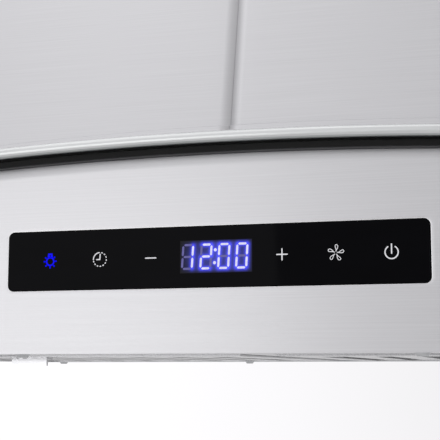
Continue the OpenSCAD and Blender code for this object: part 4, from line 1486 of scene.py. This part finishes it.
    def light_at(self, spot: Point2, lines: Sequence[tuple[Point2, Point2]]) -> tuple[float, ...]:
        """Works out the film's light at a spot: a wide dim blue and a bright halo round the segments.

        Args:
            spot: Place on the film.
            lines: Ends of each shining segment.

        Returns:
            Linear red, green and blue, then alpha.
        """
        (x0, z0), (x1, z1) = self.window_low, self.window_high
        near, total = 0.0, 0.0
        for start, end in lines:
            gap = distance_to_line(spot, start, end)
            near = max(near, math.exp(-((gap / self.halo_r) ** 2)))
            total += math.exp(-((gap / self.wash_r) ** 2))
        border = min(spot[0] - x0, x1 - spot[0], spot[1] - z0, z1 - spot[1])
        fade = max(0.0, min(1.0, self.fade_start + border / self.fade_w))
        wash, halo = fade * min(1.0, total / self.wash_sum), self.halo_level * near
        blues = zip(linear("3E42A0")[:3], linear("4448FF")[:3])
        return tuple(wash * dim + halo * bright for dim, bright in blues) + (1.0,)

    def build(self) -> None:
        """Builds the glass, the symbols and the clock, and dresses what is behind them."""
        self.glass()
        self.lamp()
        self.symbols()
        self.film(self.digits())
        dress(BLACK_ABS, 0.5, "control_housing")
        dress(BOARD_GREEN, 0.0, "control_board")
        dress(BLACK_ABS, 0.4, "display_module")
        dress(PHOSPHOR_BRONZE, 0.1, "touch_springs")


@dataclass
class Lamps:
    """The two downlights in the canopy's base."""

    chip: float = 3.4
    chip_corner_r: float = 0.7
    chip_rise: float = 0.05
    chip_count: int = 6
    ring_r: float = 16.0

    def chips(self) -> None:
        """Builds the yellow phosphor squares on the LED boards."""
        low, high = box_mm("lamp_boards")
        radius, middle_y, half = (high.y - low.y) / 2, (low.y + high.y) / 2, self.chip / 2
        shape = Shape()
        for x in (low.x + radius, high.x - radius):
            for cx, cy in arc_points((x, middle_y), self.ring_r, 0, 360, self.chip_count)[:-1]:
                outline = rounded_rectangle((cx - half, cy - half), (cx + half, cy + half),
                                            self.chip_corner_r, 1, 1, 4)
                shape.face([(px, py, low.z - self.chip_rise) for px, py in outline][::-1])
        shape.piece("led_phosphor_caps", "canopy", "lamp_lens", LED_PHOSPHOR)

    def build(self) -> None:
        """Builds the phosphor squares and dresses the lamps."""
        self.chips()
        dress(POLISHED_STEEL, 0.35, "lamp_bezels")
        dress(LAMP_LENS, 0.4, "lamp_lenses")
        dress(BOARD_WHITE, 0.2, "lamp_boards")


class Side(Enum):
    """Which of the two grease filters, seen from the front."""

    LEFT = "left"
    RIGHT = "right"


@dataclass
class GreaseFilter:
    """One baffle filter with its frame, latch and spring."""

    side: Side
    wire_r: float = 0.35
    turns: int = 5
    turn_steps: int = 20
    travel: float = 6.0

    def spring(self) -> None:
        """Builds the latch's return spring, which is pressed together as the latch slides back; here it stays
        at one length.
        """
        body, joint = f"filter_{self.side.value}", f"latch_{self.side.value}_slide"
        low, high = box_mm(f"{body}_spring")
        middle, coil_r = (low + high) / 2, (high.x - low.x) / 2 - self.wire_r
        start, run = low.y + self.wire_r, high.y - low.y - 2 * self.wire_r
        steps = self.turns * self.turn_steps
        path = []
        for i in range(steps + 1):
            turn = 2 * math.pi * i / self.turn_steps
            path.append((middle.x + coil_r * math.cos(turn), start + run * i / steps,
                         middle.z + coil_r * math.sin(turn)))
        shape = Shape()
        shape.tube(path, self.wire_r, 8)
        made = shape.piece(f"wound_spring_{self.side.value}", body, "spring_steel", POLISHED_STEEL,
                           smooth=True)
        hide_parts(f"{body}_spring")
        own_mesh(made)

    def build(self) -> None:
        """Builds the spring and dresses the rest of the filter."""
        name = f"filter_{self.side.value}"
        self.spring()
        dress(FILTER_STEEL, 0.25, f"{name}_frame", f"{name}_baffles")
        dress(POLISHED_STEEL, 0.25, f"{name}_latch")


@dataclass
class Studio:
    """The pale floor, the soft light and the camera."""

    floor_z: float = -3.4
    floor_size: float = 60.0
    place: Point3 = (0.1391, -0.9566, -0.0078)
    bearing: float = 15.375
    tilt: float = 7.726
    focal: float = 90.89
    sensor_w: float = 36.0
    nearest: float = 0.01
    levels: tuple[Point2, ...] = (
        (0.0, 0.5), (0.12, 0.6), (0.28, 1.09), (0.4, 0.99), (0.48, 0.9), (0.65, 0.7), (1.0, 0.5))

    def camera(self) -> None:
        """Puts the camera half a metre in front of the touch panel, a little to its right and below it."""
        data = bpy.data.cameras.new("camera")
        data.lens = self.focal
        data.sensor_width = self.sensor_w
        data.clip_start = self.nearest
        eye = bpy.data.objects.new("camera", data)
        eye.location = self.place
        eye.rotation_euler = (math.radians(90 + self.tilt), 0, math.radians(self.bearing))
        bpy.context.scene.collection.objects.link(eye)
        bpy.context.scene.camera = eye

    def floor(self) -> None:
        """Lays the floor far enough below the hood for views from underneath."""
        half = self.floor_size / 2
        mesh = bpy.data.meshes.new("studio_floor")
        corners = [(-half, -half, 0), (half, -half, 0), (half, half, 0), (-half, half, 0)]
        mesh.from_pydata(corners, [], [(0, 1, 2, 3)])
        mesh.materials.append(FLOOR_PAINT.material())
        made = bpy.data.objects.new("studio_floor", mesh)
        made.location.z = self.floor_z
        bpy.context.scene.collection.objects.link(made)

    def sky(self) -> None:
        """Surrounds the scene with soft light that is brightest at the front left."""
        world = bpy.data.worlds.new("studio")
        world.use_nodes = True
        tree = world.node_tree
        towards = add_node(tree, "ShaderNodeTexCoord").outputs["Generated"]
        parts = add_node(tree, "ShaderNodeSeparateXYZ", links={"Vector": towards})
        across = add_node(tree, "ShaderNodeMapRange", {"From Min": -1.0, "From Max": 1.0},
                          {"Value": parts.outputs["X"]})
        strength = set_ramp(add_node(tree, "ShaderNodeValToRGB", links={"Fac": across.outputs[0]}), [
            (place, (level, level, level, 1.0)) for place, level in self.levels])
        backdrop = tree.nodes["Background"]
        backdrop.inputs["Color"].default_value = linear("FCFBFD")
        tree.links.new(strength.outputs[0], backdrop.inputs["Strength"])
        bpy.context.scene.world = world

    def softbox(self, name: str, place: Point3, size: Point2, power: float, aim: Point3) -> None:
        """Hangs a rectangular light.

        Args:
            name: Name of the light.
            place: Where it hangs, in metres.
            size: Its width and height in metres.
            power: Its power in watts.
            aim: The point that it faces.
        """
        data = bpy.data.lights.new(name, "AREA")
        data.shape = "RECTANGLE"
        data.size, data.size_y = size
        data.energy = power
        lamp = bpy.data.objects.new(name, data)
        lamp.location = place
        lamp.rotation_euler = (Vector(aim) - Vector(place)).to_track_quat("-Z", "Y").to_euler()
        lamp.visible_camera = False
        bpy.context.scene.collection.objects.link(lamp)

    def build(self) -> None:
        """Sets up the camera, the floor and the lights."""
        self.camera()
        self.floor()
        self.sky()
        middle = (0.0, -0.25, 0.2)
        self.softbox("key_softbox", (-1.1, -1.1, 2.7), (2.4, 1.8), 5.0, middle)
        self.softbox("top_softbox", (0.4, -0.3, 2.4), (2.4, 1.6), 3.5, middle)
        self.softbox("rim_softbox", (1.9, 1.2, 1.2), (1.0, 1.4), 6.0, middle)
        self.softbox("front_softbox", (-1.5, -2.4, -0.2), (2.4, 1.4), 8.0, (-0.1, -0.47, 0.05))
        bpy.context.scene.view_settings.view_transform = "Standard"
        log.info("studio ready")


def main() -> None:
    """Builds the sub-assemblies in order."""
    logging.basicConfig(level=logging.INFO, format="%(message)s")
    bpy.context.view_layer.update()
    arch = Arch()
    parts = [Studio(), Canopy(arch), Visor(arch), Tower(arch), Chimney(), Blower(), Electrics(),
             ControlPanel(), Lamps(), GreaseFilter(Side.LEFT), GreaseFilter(Side.RIGHT)]
    for part in parts:
        part.build()
        log.info("built %s", type(part).__name__)


if __name__ == "__main__":
    main()
